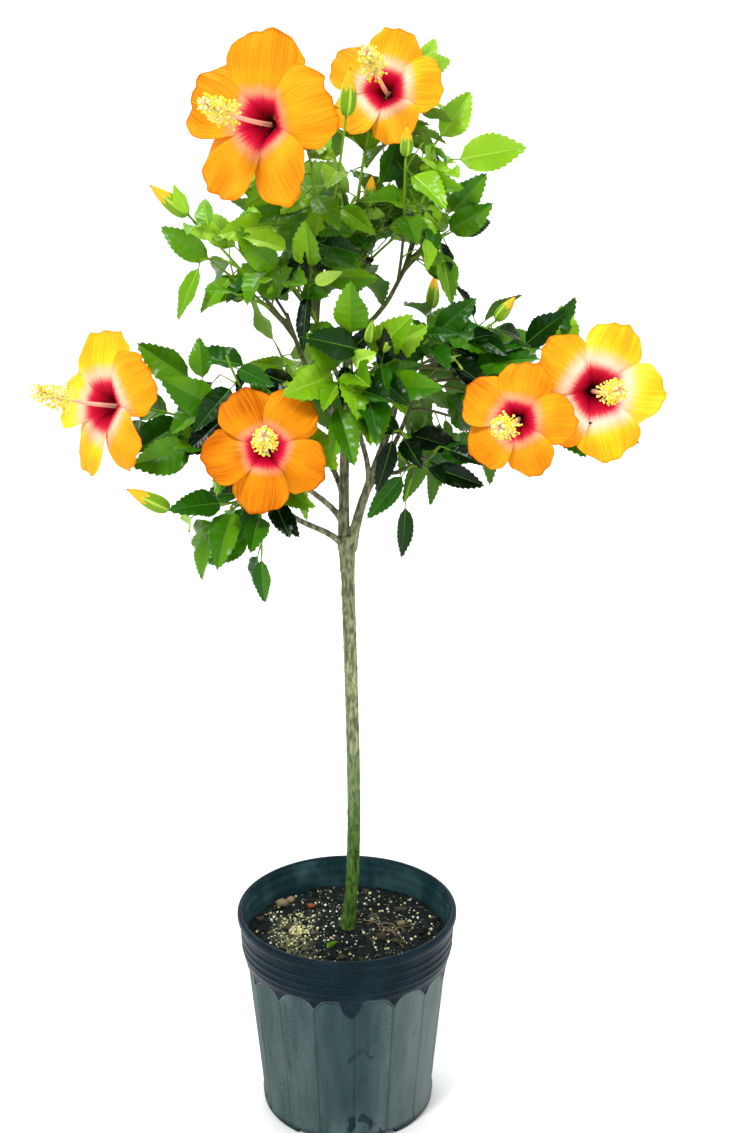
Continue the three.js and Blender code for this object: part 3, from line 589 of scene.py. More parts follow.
def knots():
    """Leaf scars and the stubs of old twigs up the trunk: place, reach and height."""
    draws = random(KNOT_SEED)
    trunk = LIMBS["trunk"]
    found = []
    for k in range(KNOTS):
        t = (k + 0.2 + 0.7 * next(draws)) / KNOTS
        out = level_way(k * GOLDEN_ANGLE + next(draws))
        reach = 2.2 + 2.4 * next(draws)
        found.append((trunk.curve.at(t) + out * trunk.radius(t), reach, 0.5 + 0.8 * next(draws)))
    fork = trunk.curve.at(0.94)
    return [*found, (fork + np.array([-9, -4, -4]), 5, 1.6), (fork + np.array([7, -6, -14]), 4, 1.2)]


def bark_relief(places):
    """How far the bark stands out at each place: furrows along the limb, grain and knots."""
    relief = np.zeros(len(places))
    for i, (x, y, z) in enumerate(places):
        furrow = noise.noise((x * 0.42, y * 0.42, z * 0.07))
        grain = noise.noise((x * 0.9, y * 0.9, z * 0.55))
        relief[i] = BARK_FURROW * (1 - 2 * abs(furrow)) + BARK_GRAIN * grain
    for place, reach, height in knots():
        distance = np.linalg.norm(places - place, axis=1) / reach
        relief += height * np.exp(-(distance**2)) - 0.5 * height * np.exp(-((distance * 2.6) ** 2))
    return relief


def make_bark():
    raw = Joined()
    for name, limb in LIMBS.items():
        raw.add(*limb_tube(limb, TRUNK_RINGS if name == "trunk" else BOUGH_RINGS))
    made = raw.make("bark", [bark_look()])
    remesh = made.modifiers.new("whole", "REMESH")
    remesh.mode = "VOXEL"
    remesh.voxel_size = BARK_VOXEL * MM
    made.modifiers.new("rounded", "SMOOTH").iterations = BARK_FORKS_ROUNDED
    apply_modifiers(made)
    mesh = made.data
    places, normals = vectors_of(mesh, "co") / MM, vectors_of(mesh, "normal")
    # The flat cut at the foot stays flat
    share = smooth_step(places[:, 2], MIX_SEAT_HEIGHT + 1, MIX_SEAT_HEIGHT + 4)
    places += normals * (bark_relief(places) * share)[:, None]
    mesh.vertices.foreach_set("co", (places * MM).ravel())
    mesh.polygons.foreach_set("use_smooth", np.ones(len(mesh.polygons), bool))
    mesh.update()
    finish_piece(made, "bark", *LIMBS)


def bark_look():
    look = Look("bark", Specular_IOR_Level=0.08)
    _, _, height = look.axes()
    grain, patches = look.noise(260, 5, (1, 1, 0.35)), look.noise(38, 3, (1, 1, 0.5))
    olive = look.mixed(grain.between(0.35, 0.68), (82, 88, 62), (158, 163, 124))
    brown = look.mixed(grain.between(0.35, 0.7), (62, 62, 48), (134, 132, 108))
    moss = look.mixed(grain.between(0.3, 0.7), (30, 56, 16), (82, 114, 46))
    young = look.mixed(grain.between(0.3, 0.7), (74, 84, 42), (124, 134, 70))
    wood = look.mixed((height + patches * 0.22).between(0.72, 0.92), olive, brown)
    wood = look.mixed(height.between(0.84, 0.95), wood, young)
    low = height + patches * 0.3
    wood = look.mixed(low.between(0.68, 0.58) * 0.55, wood, (66, 104, 52))
    return look.set(
        Base_Color=look.mixed(low.between(0.53, 0.45), wood, moss),
        Roughness=grain * 0.25 + 0.5,
        Normal=look.bump(grain, 0.5, 0.0008),
    )


# The masses, by the source's rule
def facing(end):
    turn, lift = math.radians(end.turn), math.radians(end.lift)
    return np.array([math.sin(turn), -math.cos(turn), 0]) * math.cos(lift) + UP * math.sin(lift)


def make_stem(limb):
    direction = limb.curve.tangent(1)
    start = limb.curve.at(1) + direction * CLEARANCE
    end = start + direction * STEM_LENGTH
    return path(start, direction, end, blend(direction, 0.8, UP), 1 / 3)


def shoot_end(end, start, leaf_length):
    """Where a shoot ends and which way it points there."""
    place = np.array(end.place, float)
    chord = unit(place - start)
    if end.kind == "bloom":
        return place - facing(end) * CALYX_BACK, facing(end)
    if end.kind == "bud":
        direction = blend(chord, end.lean, UP)
        return place - direction * end.length, direction
    direction = unit(chord - UP * end.drop)
    return place - direction * leaf_length, direction


def make_shoot(stem, end, share, seed):
    at = mix(*SHOOTS_LEAVE, share)
    start = stem.at(at)
    last_leaf = getattr(end, "length", None) or LEAF_LENGTH * (0.8 + 0.3 * next(random(seed)))
    place, direction = shoot_end(end, start, last_leaf)
    chord = unit(place - start)
    leaving = blend(stem.tangent(at), SHOOT_LEAVING, chord)
    arriving = direction if end.kind == "bloom" else blend(chord, 0.5, direction)
    curve = path(start, leaving, place, arriving, SHOOT_PULL)
    length = np.linalg.norm(place - start)
    return SimpleNamespace(end=end, curve=curve, length=length, seed=seed)


def leaf_traits(shoot):
    draws = random(shoot.seed + LEAF_SEED)
    count = max(2, int(shoot.length / INTERNODE + 0.5))
    turn = next(draws) * 2 * math.pi
    traits = []
    for k in range(count):
        turn += GOLDEN_ANGLE + (next(draws) - 0.5) * 0.5
        at = mix(LEAVES_START, LEAVES_END, (k + 0.5) / count)
        traits.append(SimpleNamespace(
            at=at,
            turn=turn,
            length=LEAF_LENGTH * (0.72 + 0.5 * next(draws)) * (1 - 0.3 * at * at),
            petiole=9 + 12 * next(draws),
            droop=0.1 + 0.8 * next(draws),
            roll=next(draws) - 0.5,
        ))
    return traits


def on_shoot(shoot, at):
    """A place on the straight pieces that the solids have for a shoot."""
    step = min(int(at * SHOOT_STEPS), SHOOT_STEPS - 1)
    lower, upper = shoot.curve.at(step / SHOOT_STEPS), shoot.curve.at((step + 1) / SHOOT_STEPS)
    return mix(lower, upper, at * SHOOT_STEPS - step)


def make_leaf(root, along, length, petiole, roll, twig, light=SIDE_LIGHT):
    """A leaf with its upper face turned to the light and to the open side of the crown."""
    open_side = np.clip((root[1] - light.middle) / CROWN_BLEND, -1, 1)
    sky = np.array([0, LIGHT_OPEN * open_side, light.up]) + outward_at(root) * LIGHT_OUTWARD
    normal = turned(unit(sky - along * (sky @ along)), along, roll)
    return SimpleNamespace(
        root=root, along=along, normal=normal, side=np.cross(normal, along),
        length=length, petiole=petiole, twig=twig, bend=LEAF_BEND,
    )


def leaf_at(shape, part):
    """A place on the middle line of a leaf's blade."""
    reach = shape.petiole + part * shape.length
    return shape.root + shape.along * reach - shape.normal * shape.bend * shape.length * part**2


def side_leaf(shoot, trait, turn, size):
    root = on_shoot(shoot, trait.at)
    twig = shoot.curve.tangent(trait.at)
    aside = square_to(twig)
    along = around(aside, np.cross(twig, aside), trait.turn + turn)
    along = along + twig * LEAN_TO_TWIG + outward_at(root) * LEAN_OUTWARD - UP * trait.droop
    joint = shoot.curve.at(trait.at)
    return make_leaf(root, unit(along), trait.length * size, trait.petiole, trait.roll, joint)


def tip_leaf(shoot):
    root = on_shoot(shoot, TIP_LEAF_AT)
    way = np.array(shoot.end.place, float) - root
    reach = np.linalg.norm(way)
    petiole = reach * PETIOLE_SHARE
    return make_leaf(root, way / reach, reach - petiole, petiole, 0, shoot.curve.at(1), TIP_LIGHT)


def mesh_places(node):
    return vectors_of(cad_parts[node].data, "co")


def tips_of(node):
    places = mesh_places(node) / MM
    tips = KDTree(len(places))
    for i, place in enumerate(places):
        tips.insert(place, i)
    tips.balance()
    return tips


def solid_leaves(node, shoots):
    """The leaves that the solids have: each one's tip is a corner of its mass."""
    tips = tips_of(node)
    kept, spare = [], []
    for shoot in shoots:
        wanted = [[side_leaf(shoot, trait, *way) for way in LEAF_TRIES] for trait in leaf_traits(shoot)]
        if shoot.end.kind == "leaf":
            wanted.append([tip_leaf(shoot)])
        for tries in wanted:
            found = [one for one in tries if tips.find(leaf_at(one, 1))[2] < MATCH_WITHIN]
            (kept if found else spare).append((shoot, (found or tries)[0]))
    return kept, spare


# Finer growth in the solids' reach
def seen(place):
    """Where a place shows on the plane through the trunk, from the side that the plant shows."""
    away = place - VIEWER
    return (VIEWER - away * VIEWER[1] / away[1])[[0, 2]]


def closes_opening(shape):
    for part, aside in LEAF_SPREAD:
        across, up = seen(leaf_at(shape, part) + shape.side * aside * shape.length)
        if any(math.hypot(across - x, up - z) < radius for x, z, radius in OPENINGS):
            return True
    return False


def hides_bloom(place):
    """True in front of a bloom's open face, from where it faces or from the plant's front."""
    for end in BLOOMS:
        middle, axis = np.array(end.place, float), facing(end)
        ahead = (place - middle) @ axis
        aside = np.linalg.norm(place - middle - axis * ahead)
        if BLOOM_VIEW[0] < ahead < BLOOM_VIEW[1] and aside < end.reach * BLOOM_CLEAR:
            return True
        shown = end.reach * BLOOM_SHOWN * VIEWER[1] / (VIEWER[1] - middle[1])
        if place[1] < middle[1] + 10 and math.dist(seen(place), seen(middle)) < shown:
            return True
    return False


class Crown:
    """The leaves so far, and the reach of the solids that new ones keep to."""

    def __init__(self):
        self.middles = []
        corners, faces = [], []
        for name, *_ in MASSES:
            first = len(corners)
            corners.extend(mesh_places(name))
            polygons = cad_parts[name].data.polygons
            faces.extend([[first + i for i in face.vertices] for face in polygons])
        self.solids = BVHTree.FromPolygons(corners, faces)

    def keep(self, shape):
        self.middles.append(leaf_at(shape, 0.5))

    def has_room(self, shape):
        for place in (leaf_at(shape, 0.5), leaf_at(shape, 1)):
            if self.solids.find_nearest(place * MM)[3] > FINE_REACH * MM or hides_bloom(place):
                return False
        if closes_opening(shape):
            return False
        gaps = np.linalg.norm(np.array(self.middles) - leaf_at(shape, 0.5), axis=1)
        return gaps.min() > FINE_SPACING


def grow_side_twigs(shoot, crown):
    """Side twigs with smaller leaves, on a shoot that has them where the solids are near."""
    draws = random(shoot.seed + SIDE_TWIG_SEED)
    count = int(shoot.length / SIDE_TWIG_PITCH + 0.5)
    grown = []
    turn = next(draws) * 2 * math.pi
    for k in range(count):
        at = mix(0.12, 0.9, (k + next(draws)) / count)
        turn += GOLDEN_ANGLE
        start = shoot.curve.at(at)
        twig = shoot.curve.tangent(at)
        aside = square_to(twig)
        aside = around(aside, np.cross(twig, aside), turn)
        way = unit(aside + twig * 0.7 + outward_at(start) * 0.3 + UP * 0.25)
        length = SIDE_TWIG_LENGTH[0] + SIDE_TWIG_LENGTH[1] * next(draws)
        curve = path(start, blend(twig, 0.4, way), start + way * length, blend(way, 0.7, UP), 0.35)
        side = SimpleNamespace(curve=curve, last=0)
        leaves = []
        nodes = max(2, int(length / SIDE_TWIG_INTERNODE))
        leaf_turn = next(draws) * 2 * math.pi
        for j in range(nodes):
            leaf_turn += GOLDEN_ANGLE
            trait = SimpleNamespace(
                at=mix(0.3, 1, (j + 1) / nodes),
                turn=leaf_turn,
                length=FINE_LEAF_LENGTH * (0.7 + 0.6 * next(draws)),
                petiole=6 + 8 * next(draws),
                droop=0.8 * next(draws),
                roll=next(draws) - 0.5,
            )
            one = side_leaf(side, trait, 0, 1)
            if crown.has_room(one):
                crown.keep(one)
                leaves.append(one)
                side.last = trait.at
        if leaves:
            grown.append((side, leaves))
    return grown


def grow_masses():
    """Each mass with its stem, shoots, side twigs and leaves."""
    crown = Crown()
    masses = []
    for number, (name, bough, ends) in enumerate(MASSES):
        stem = make_stem(LIMBS[bough])
        shoots = [
            make_shoot(stem, end, (k + 0.5) / len(ends), number * 100 + k) for k, end in enumerate(ends)
        ]
        leaves, spare = solid_leaves(name, shoots)
        for _, one in leaves:
            crown.keep(one)
        masses.append(SimpleNamespace(
            name=name, bough=bough, stem=stem, shoots=shoots, leaves=leaves, spare=spare, side_twigs=[],
        ))
    for mass in masses:
        for shoot, one in mass.spare:
            if crown.has_room(one):
                crown.keep(one)
                mass.leaves.append((shoot, one))
    for mass in masses:
        for shoot in mass.shoots:
            mass.side_twigs += [(shoot, *grown) for grown in grow_side_twigs(shoot, crown)]
    return masses


# Leaf blades: a toothed outline with a rib, and a pale underside
BLADE_ROWS = 21
BLADE_COLUMNS = 3
BLADE_HALF_WIDTH = 0.3
BLADE_SHAPE = (0.66, 1.1)
BLADE_TOOTH = 0.024
TOOTH_AT = 0.6
BLADE_THICKNESS = 0.007
BLADE_FOLD = 0.4
BLADE_QUILT = 0.021
BLADE_RIPPLE = 0.065
BLADE_CURL = 0.12
RIB_HALF_WIDTH = 0.011
# Greens from dark to pale: besides the leaves' own greens, the darkest stand for painted shade deep in the
# crown and the palest but one for painted highlights; the last is the young leaves' own green
LEAF_TONES = [
    (3, 26, 2), (13, 50, 3), (32, 84, 4), (54, 108, 6), (78, 130, 8), (98, 150, 12), (118, 167, 20),
    (134, 182, 34), (150, 196, 54), (172, 214, 84),
]
# Rib and underside: a darker and a paler copy each, picked by the blade's tone, so they follow its painted
# light and shade as well as its own green
RIB_TONES = [(74, 122, 28), (156, 194, 72)]
UNDERSIDE_TONES = [(74, 114, 36), (124, 164, 62)]
YOUNG_TONE = 9
YOUNG_LENGTH = 34
PALE_FROM = 5
SPRAY_TONES = 4.4
LEAF_TONES_APART = 2.4
CROWN_MIDDLE = np.array([20, 20, 930])
CROWN_REACH = np.array([230, 190, 250])


def blade_half(part):
    low, high = BLADE_SHAPE
    peak = low / (low + high)
    return BLADE_HALF_WIDTH * (part / peak) ** low * ((1 - part) / (1 - peak)) ** high


def blade_template():
    """One leaf as fractions of its length: places, faces, and a look for each face. The looks
    are 0 and 3 for the blade's halves, 1 for its rib and 2 for its underside, which has its own
    corners so that the shading breaks at the edge. The blade bulges between its side veins,
    which run out and forward by one column a row."""
    places, faces, looks = [], [], []
    side = BLADE_COLUMNS + 3
    row = 1 + 2 * side
    for i in range(BLADE_ROWS + 1):
        part = i / BLADE_ROWS
        narrow = RIB_HALF_WIDTH * (1 - part) + 0.002
        wide = max(blade_half(part), narrow * 1.2)
        swell = BLADE_QUILT * math.sqrt(max(math.sin(math.pi * part), 0))
        tip, edge = part, wide
        if i % 2 and i < BLADE_ROWS:
            tip += TOOTH_AT / BLADE_ROWS
            edge += BLADE_TOOTH * smooth_step(part, 0.05, 0.35)
        places.append((part, 0, -BLADE_THICKNESS))
        for way in (-1, 1):
            places.append((part, way * narrow, 0))
            for share in (c / BLADE_COLUMNS for c in range(1, BLADE_COLUMNS)):
                bulge = swell * abs(math.sin(math.pi * (i / BLADE_COLUMNS - share)))
                places.append((part, way * mix(narrow, wide, share), bulge))
            under = (part, way * wide * 0.5, -BLADE_THICKNESS)
            places += [(tip, way * edge, 0), under, (tip, way * edge, 0)]

    def strip(low, inner, outer, turned, look):
        """Two triangles, cut from the low inner corner to the high outer one."""
        a, b, c, d = low + inner, low + row + inner, low + row + outer, low + outer
        faces.extend([(a, c, b), (a, d, c)] if turned else [(a, b, c), (a, c, d)])
        looks.extend([look, look])

    for low in range(0, BLADE_ROWS * row, row):
        strip(low, 1 + side, 1, False, 1)
        for first, turned, look in ((1, False, 0), (1 + side, True, 3)):
            under = first + BLADE_COLUMNS + 1
            for c in range(first, first + BLADE_COLUMNS):
                strip(low, c, c + 1, turned, look)
            strip(low, 0, under, not turned, 2)
            strip(low, under, under + 1, not turned, 2)
    return np.array(places), np.array(faces), np.array(looks)


BLADE_PLACES, BLADE_FACES, BLADE_LOOKS = blade_template()


def leaf_blade(shape, number):
    """Where the template's places lie on one leaf."""
    parts, across, lift = BLADE_PLACES.T
    draws = random(number)
    across = across * (0.68 + 0.32 * next(draws)) * (1 - 0.25 * smooth_step(-shape.along[2], 0.5, 0.9))
    fold = BLADE_FOLD * (0.3 + 1.3 * next(draws))
    wave = np.sin(parts * (8 + 7 * next(draws)) + 6 * next(draws))
    wave = wave * (np.abs(across) / BLADE_HALF_WIDTH) ** 2 * np.sign(across)
    twist = (next(draws) - 0.5) * 0.8 * parts
    curl = BLADE_CURL * (next(draws) - 0.35) * parts**3
    rise = lift + fold * np.abs(across) + BLADE_RIPPLE * wave
    sideways = across * np.cos(twist) - rise * np.sin(twist)
    upward = across * np.sin(twist) + rise * np.cos(twist)
    middle = shape.root + np.outer(shape.petiole + parts * shape.length, shape.along)
    middle -= np.outer((shape.bend * parts**2 + curl) * shape.length, shape.normal)
    return middle + shape.length * (np.outer(sideways, shape.side) + np.outer(upward, shape.normal))


def leaf_tones(shape, spray, number):
    """The tones of a leaf's halves, with painted shade and light by place: darker inside the crown,
    low in it, on its left and at its front, paler high in it and on the leaves that hang low at
    the left; and alike in a spray."""
    if shape.length < YOUNG_LENGTH and next(random(number + 31)) > 0.45:
        tone = YOUNG_TONE
    else:
        root = shape.root
        outside = min(np.linalg.norm((root - CROWN_MIDDLE) / CROWN_REACH), 0.95)
        high = np.clip((root[2] - 960) / 150, -1, 1)
        left = smooth_step(-root[0], 20, 120) * smooth_step(-root[2], -940, -900)
        hanging = left * smooth_step(-root[2], -800, -740)
        front = smooth_step(-root[1], 50, 110) * smooth_step(-root[2], -1000, -940)
        sprayed = (next(random(spray)) - 0.5) * SPRAY_TONES
        sprayed += (next(random(number)) - 0.5) * LEAF_TONES_APART
        # Painted shade and light by place: paler high in the crown and outside it, darker low in it, on its
        # left and at its front, and paler on the leaves that hang low at the left
        tone = 1.35 + 2.1 * max(high, 0) + 0.9 * min(high, 0) + 0.9 * outside
        tone += 5 * hanging - 1.4 * left - 2.2 * front + sprayed
        tone = int(np.clip(2 * tone, 0, YOUNG_TONE - 2))
    # One half is a tone darker or paler, dealt at random: painted shade and light of the fold along the rib
    change = (-1, 0, 0, 1)[int(4 * next(random(number + 57)))]
    return tone, int(np.clip(tone + change, 0, YOUNG_TONE))


def make_leaves(masses):
    ribs, unders = len(LEAF_TONES), len(LEAF_TONES) + len(RIB_TONES)
    materials = plain_looks("leaf", LEAF_TONES, 0.27, 0.15)
    materials += plain_looks("leaf_rib", RIB_TONES, 0.45, 0.16)
    materials += plain_looks("leaf_underside", UNDERSIDE_TONES, 0.6, 0.1)
    number = 0
    for piece, nodes in LEAF_PIECES.items():
        joined = Joined()
        for mass in [mass for mass in masses if mass.name in nodes]:
            sprayed = [(shoot.seed, one) for shoot, one in mass.leaves]
            for i, (shoot, _, leaves) in enumerate(mass.side_twigs):
                sprayed += [(shoot.seed * 7 + i, one) for one in leaves]
            for spray, one in sprayed:
                number += 1
                tone, other = leaf_tones(one, spray, number)
                # Paler rib and underside go with paler blades: lit and shaded copies that follow the blade's
                # painted light as well as its tone
                pale = tone >= PALE_FROM
                looks = np.array([tone, ribs + pale, unders + pale, other])[BLADE_LOOKS]
                joined.add(leaf_blade(one, number), [BLADE_FACES], [looks])
        finish_piece(joined.make(piece, materials), "foliage", *nodes)


# Twigs: stems, shoots, side twigs and leaf stalks
SHOOT_RINGS = 14
GREEN_FROM = 0.35
GREEN_STEMS = ["foliage_high_left", "foliage_top"]
TWIG_COLOURS = [(92, 98, 60), (112, 150, 34), (120, 162, 40), (84, 118, 34)]


def add_twig(joined, curve, radii, rings, sides, look, tip_look=None, until=1):
    t = np.linspace(0, 1, rings)
    points, faces = tube(curve.at(t * until), mix(*radii, t), sides)
    along = np.repeat(np.arange(rings - 1) / (rings - 1), sides)
    sides_look = look if tip_look is None else np.where(along > GREEN_FROM, tip_look, look)
    joined.add(points, faces, [sides_look, look])


def add_stalk(joined, shape, look):
    """A leaf's stalk, from the twig to where its blade starts."""
    start, end = shape.twig, leaf_at(shape, 0.03)
    way = unit(end - start)
    add_twig(joined, path(start, blend(way, 0.8, UP), end, shape.along, 0.3), (0.85, 0.6), 5, 5, look)


def make_twigs(masses):
    joined = Joined()
    for mass in masses:
        stem = mass.stem
        whole = Path(stem.at(0) - stem.tangent(0) * 3, *stem.controls[1:])
        radii = (LIMBS[mass.bough].tip_radius * 1.02, STEM_TIP_RADIUS * 0.8)
        add_twig(joined, whole, radii, 12, 10, int(mass.name in GREEN_STEMS))
        for shoot in mass.shoots:
            add_twig(joined, shoot.curve, SHOOT_RADIUS, SHOOT_RINGS, 8, 0, 1)
        for _, side, _ in mass.side_twigs:
            add_twig(joined, side.curve, (1.0, 0.6), 8, 6, 1, 2, side.last)
        leaves = [one for _, one in mass.leaves]
        for one in leaves + [one for *_, more in mass.side_twigs for one in more]:
            add_stalk(joined, one, 3)
    finish_piece(joined.make("twigs", plain_looks("twig", TWIG_COLOURS, 0.6, 0.1)), "foliage")


# Blooms: petals with a colour at each corner, and a map of their own for it
PETAL_ROWS = 40
PETAL_COLUMNS = 54
PETAL_RUFFLE = 0.045
PETAL_VEIN = 0.003
PETAL_VEINS = 21
MAP_COLUMNS = 7
MAP_ROWS = 6
MAP_MARGIN = 0.06
PETAL_OUT = np.linspace(0.03, 1, PETAL_ROWS)[:, None]
PETAL_ACROSS = np.linspace(-1, 1, PETAL_COLUMNS)[None, :]
THROAT_STOPS = [
    (0.0, (66, 0, 12)), (0.1, (118, 0, 20)), (0.17, (160, 2, 32)), (0.24, (184, 6, 46)),
    (0.3, (206, 40, 66)), (0.38, (236, 118, 108)),
]
HALO_STOPS = [(0.0, (226, 128, 62)), (0.5, (244, 176, 128)), (1.0, (250, 222, 200))]
GOLD_STOPS = [
    (0.0, (178, 86, 1)), (0.25, (218, 124, 5)), (0.5, (238, 147, 20)), (0.75, (242, 164, 26)),
    (1.0, (245, 194, 24)), (1.3, (245, 216, 66)),
]


def bloom_frame(end):
    axis = facing(end)
    across = unit(np.cross(UP, axis))
    return np.array(end.place, float), axis, across, np.cross(axis, across)


# Half the width of a petal, by how far out along it
PETAL_HALF = np.polynomial.Polynomial.fit(
    [0.03, 0.12, 0.25, 0.4, 0.55, 0.7, 0.85, 0.95, 1.0],
    [0.06, 0.135, 0.24, 0.345, 0.42, 0.46, 0.442, 0.425, 0.418],
    5,
)


def petal_forward(out):
    return 0.13 - 0.52 * np.exp(-out / 0.13) - 0.09 * out**4


def petal_places(end, k):
    """A petal's places by row and column, from the throat out and from side to side."""
    throat, axis, across, up = bloom_frame(end)
    draws = random(int(end.reach * 31 + end.roll) + k)
    angle = math.radians(end.roll) + 2 * math.pi * k / PETALS + 0.12 * (next(draws) - 0.5)
    outward = around(across, up, angle)
    reach = end.reach * (0.97 + 0.08 * next(draws))
    phase = [6.3 * next(draws) for _ in range(5)]
    rows, columns = PETAL_OUT, PETAL_ACROSS
    half = PETAL_HALF(rows)
    twist = PETAL_TWIST * (0.35 + 0.75 * smooth_step(rows, 0.1, 0.8))
    loose = smooth_step(rows, 0.35, 1)
    wavy = 0.04 * np.sin(4.2 * columns + phase[0]) + 0.022 * np.sin(11 * columns + phase[1])
    margin = 0.55 + 0.45 * np.sqrt(1 - (0.89 * columns) ** 2)
    out = rows * (1 - (1 - margin) * rows**3 + 0.6 * wavy * rows**6)
    ruffle = np.sin(4.4 * columns + phase[2]) + 0.6 * np.sin(9.5 * columns + phase[3] + 3 * rows)
    ruffle = PETAL_RUFFLE * loose * ruffle * (0.35 + 0.65 * np.abs(columns))
    crinkle = 0.006 * loose * np.sin(23 * columns + 9 * rows + phase[4])
    vein = PETAL_VEIN * np.cos(columns * math.pi * PETAL_VEINS) * smooth_step(rows, 0.12, 0.4)
    aside = half * columns
    ahead = petal_forward(out) + end.cup * out**2 + ruffle + crinkle + vein
    ahead = ahead - 0.1 * half * columns**2 + aside * np.sin(twist)
    parts = [(out, outward), (ahead, axis), (aside * np.cos(twist), np.cross(axis, outward))]
    return throat + sum((share * reach)[..., None] * way for share, way in parts)


def between_stops(stops, value):
    """A colour for each value, from colours at given values."""
    at = [stop for stop, _ in stops]
    colours = np.array([srgb(*colour) for _, colour in stops])
    return np.stack([np.interp(value, at, colours[:, c]) for c in range(3)], -1)


def noise_over(across, out, seed):
    """A grid of noise, by row and column."""
    return np.array([[noise.noise((x, y, seed)) for x in across.ravel()] for y in np.ravel(out)])


def petal_colours(end, k):
    """The dark throat and its pale halo, then gold with veins, and paler or deeper patches, with painted
    light: one side of a bloom and each petal's sides yellower.
    """
    out, across = PETAL_OUT, PETAL_ACROSS
    edge = np.abs(across)
    seed = 10 * end.reach + 3 * k
    fine = noise_over(across * 16, out * 1.8, seed + 5)
    patch = noise_over(across * 1.3, out * 2.2, seed + 9)
    zone = out - 0.035 * noise_over(across * 9, 0, seed) - 0.05 * (1 - across**2) + 0.02
    zone = zone * 0.3 / end.throat
    rib = np.cos(across * math.pi * PETAL_VEINS) * smooth_step(out, 0.2, 0.5)
    rib = rib * (0.7 + noise_over(across * 5, 3, seed))
    warm = end.gold + 0.22 * patch + 0.2 * fine + 0.14 * rib
    warm = warm + (0.05 + 0.2 * end.gold) * np.exp(-(((zone - 0.6) / 0.14) ** 2))
    warm = warm + end.lit * math.cos(math.radians(end.roll) + 2 * math.pi * k / PETALS)
    # Painted highlight: yellower towards each petal's sides, short of its outer end
    warm = warm + 0.1 * smooth_step(edge, 0.5, 0.9) * (1 - smooth_step(out, 0.75, 1))
    margin = smooth_step(edge, 0.95, 1) * smooth_step(out, 0.3, 0.6)
    gold = between_stops(GOLD_STOPS, warm - 0.35 * np.maximum(smooth_step(out, 0.95, 1), margin))
    halo = between_stops(HALO_STOPS, end.halo + 0.25 * patch)
    colours = mix(between_stops(THROAT_STOPS, zone), halo, smooth_step(zone, 0.28, 0.44)[..., None])
    far = smooth_step(zone - 0.05 * fine, 0.38, 0.5 + 0.16 * end.halo)
    return mix(colours, gold, far[..., None])


def petal_look():
    look = Look("petal", Roughness=0.6, Specular_IOR_Level=0.06)
    return look.set(Base_Color=look.add("Attribute", {}, "Color", attribute_name="tint"))


def petal_maps():
    """Each petal's own cell of the map, by row and column."""
    along = np.linspace(MAP_MARGIN, 1 - MAP_MARGIN, PETAL_ROWS)
    across = np.linspace(MAP_MARGIN, 1 - MAP_MARGIN, PETAL_COLUMNS)
    for cell in range(MAP_COLUMNS * MAP_ROWS):
        row, column = divmod(cell, MAP_COLUMNS)
        u, v = np.meshgrid((column + across) / MAP_COLUMNS, (row + along) / MAP_ROWS)
        yield np.stack([u, v], -1).reshape(-1, 2)


def make_petals():
    joined = Joined()
    faces = grid_faces(PETAL_ROWS, PETAL_COLUMNS)
    colours, spots, maps = [], [], petal_maps()
    for end in BLOOMS:
        for k in range(PETALS):
            joined.add(petal_places(end, k).reshape(-1, 3), [faces])
            colours.append(petal_colours(end, k).reshape(-1, 3))
            spots.append(next(maps))
    made = joined.make("petals", [petal_look()])
    tint = made.data.color_attributes.new("tint", "FLOAT_COLOR", "POINT")
    colours = np.concatenate(colours)
    tint.data.foreach_set("color", np.c_[colours, np.ones(len(colours))].astype(np.float32).ravel())
    corners = np.zeros(len(made.data.loops), int)
    made.data.loops.foreach_get("vertex_index", corners)
    layer = made.data.uv_layers.new(name="OFBake")
    layer.data.foreach_set("uv", np.concatenate(spots)[corners].astype(np.float32).ravel())
    finish_piece(made, "foliage")


# The column in a bloom's middle, with its stamens and the pads at its tip
STAMENS = 165
STAMENS_FROM = 0.52
STAMEN_LENGTH = 10.5
ANTHER_RADIUS = 1.15
PADS = 5
PAD_RADIUS = 1.6
COLUMN_RINGS = 16
COLUMN_FOOT = -16
COLUMN_COLOURS = [(240, 182, 156), (250, 240, 168), (244, 216, 52), (250, 242, 128), (250, 238, 170)]


def column_at(end, forward):
    throat, axis, _, up = bloom_frame(end)
    forward = np.asarray(forward, float)
    rise = COLUMN_RISE * (np.maximum(forward, 0) / COLUMN_LENGTH) ** 2
    return throat + np.multiply.outer(forward, axis) + np.multiply.outer(rise, up)


def ball(centre, radius, rings=4, sides=6):
    """A small round body."""
    places = [centre - radius * UP]
    for i in range(1, rings):
        lift = -math.pi / 2 + math.pi * i / rings
        places.extend(centre + radius * level_ring(turns_of(sides), math.cos(lift), math.sin(lift)))
    places.append(centre + radius * UP)
    first = np.arange(sides)
    after = (first + 1) % sides
    last = len(places) - 1
    foot = np.stack([np.zeros(sides, int), 1 + after, 1 + first], -1)
    top = np.stack([last - sides + first, last - sides + after, np.full(sides, last)], -1)
    return np.array(places), [1 + grid_faces(rings - 1, sides, True), np.concatenate([foot, top])]


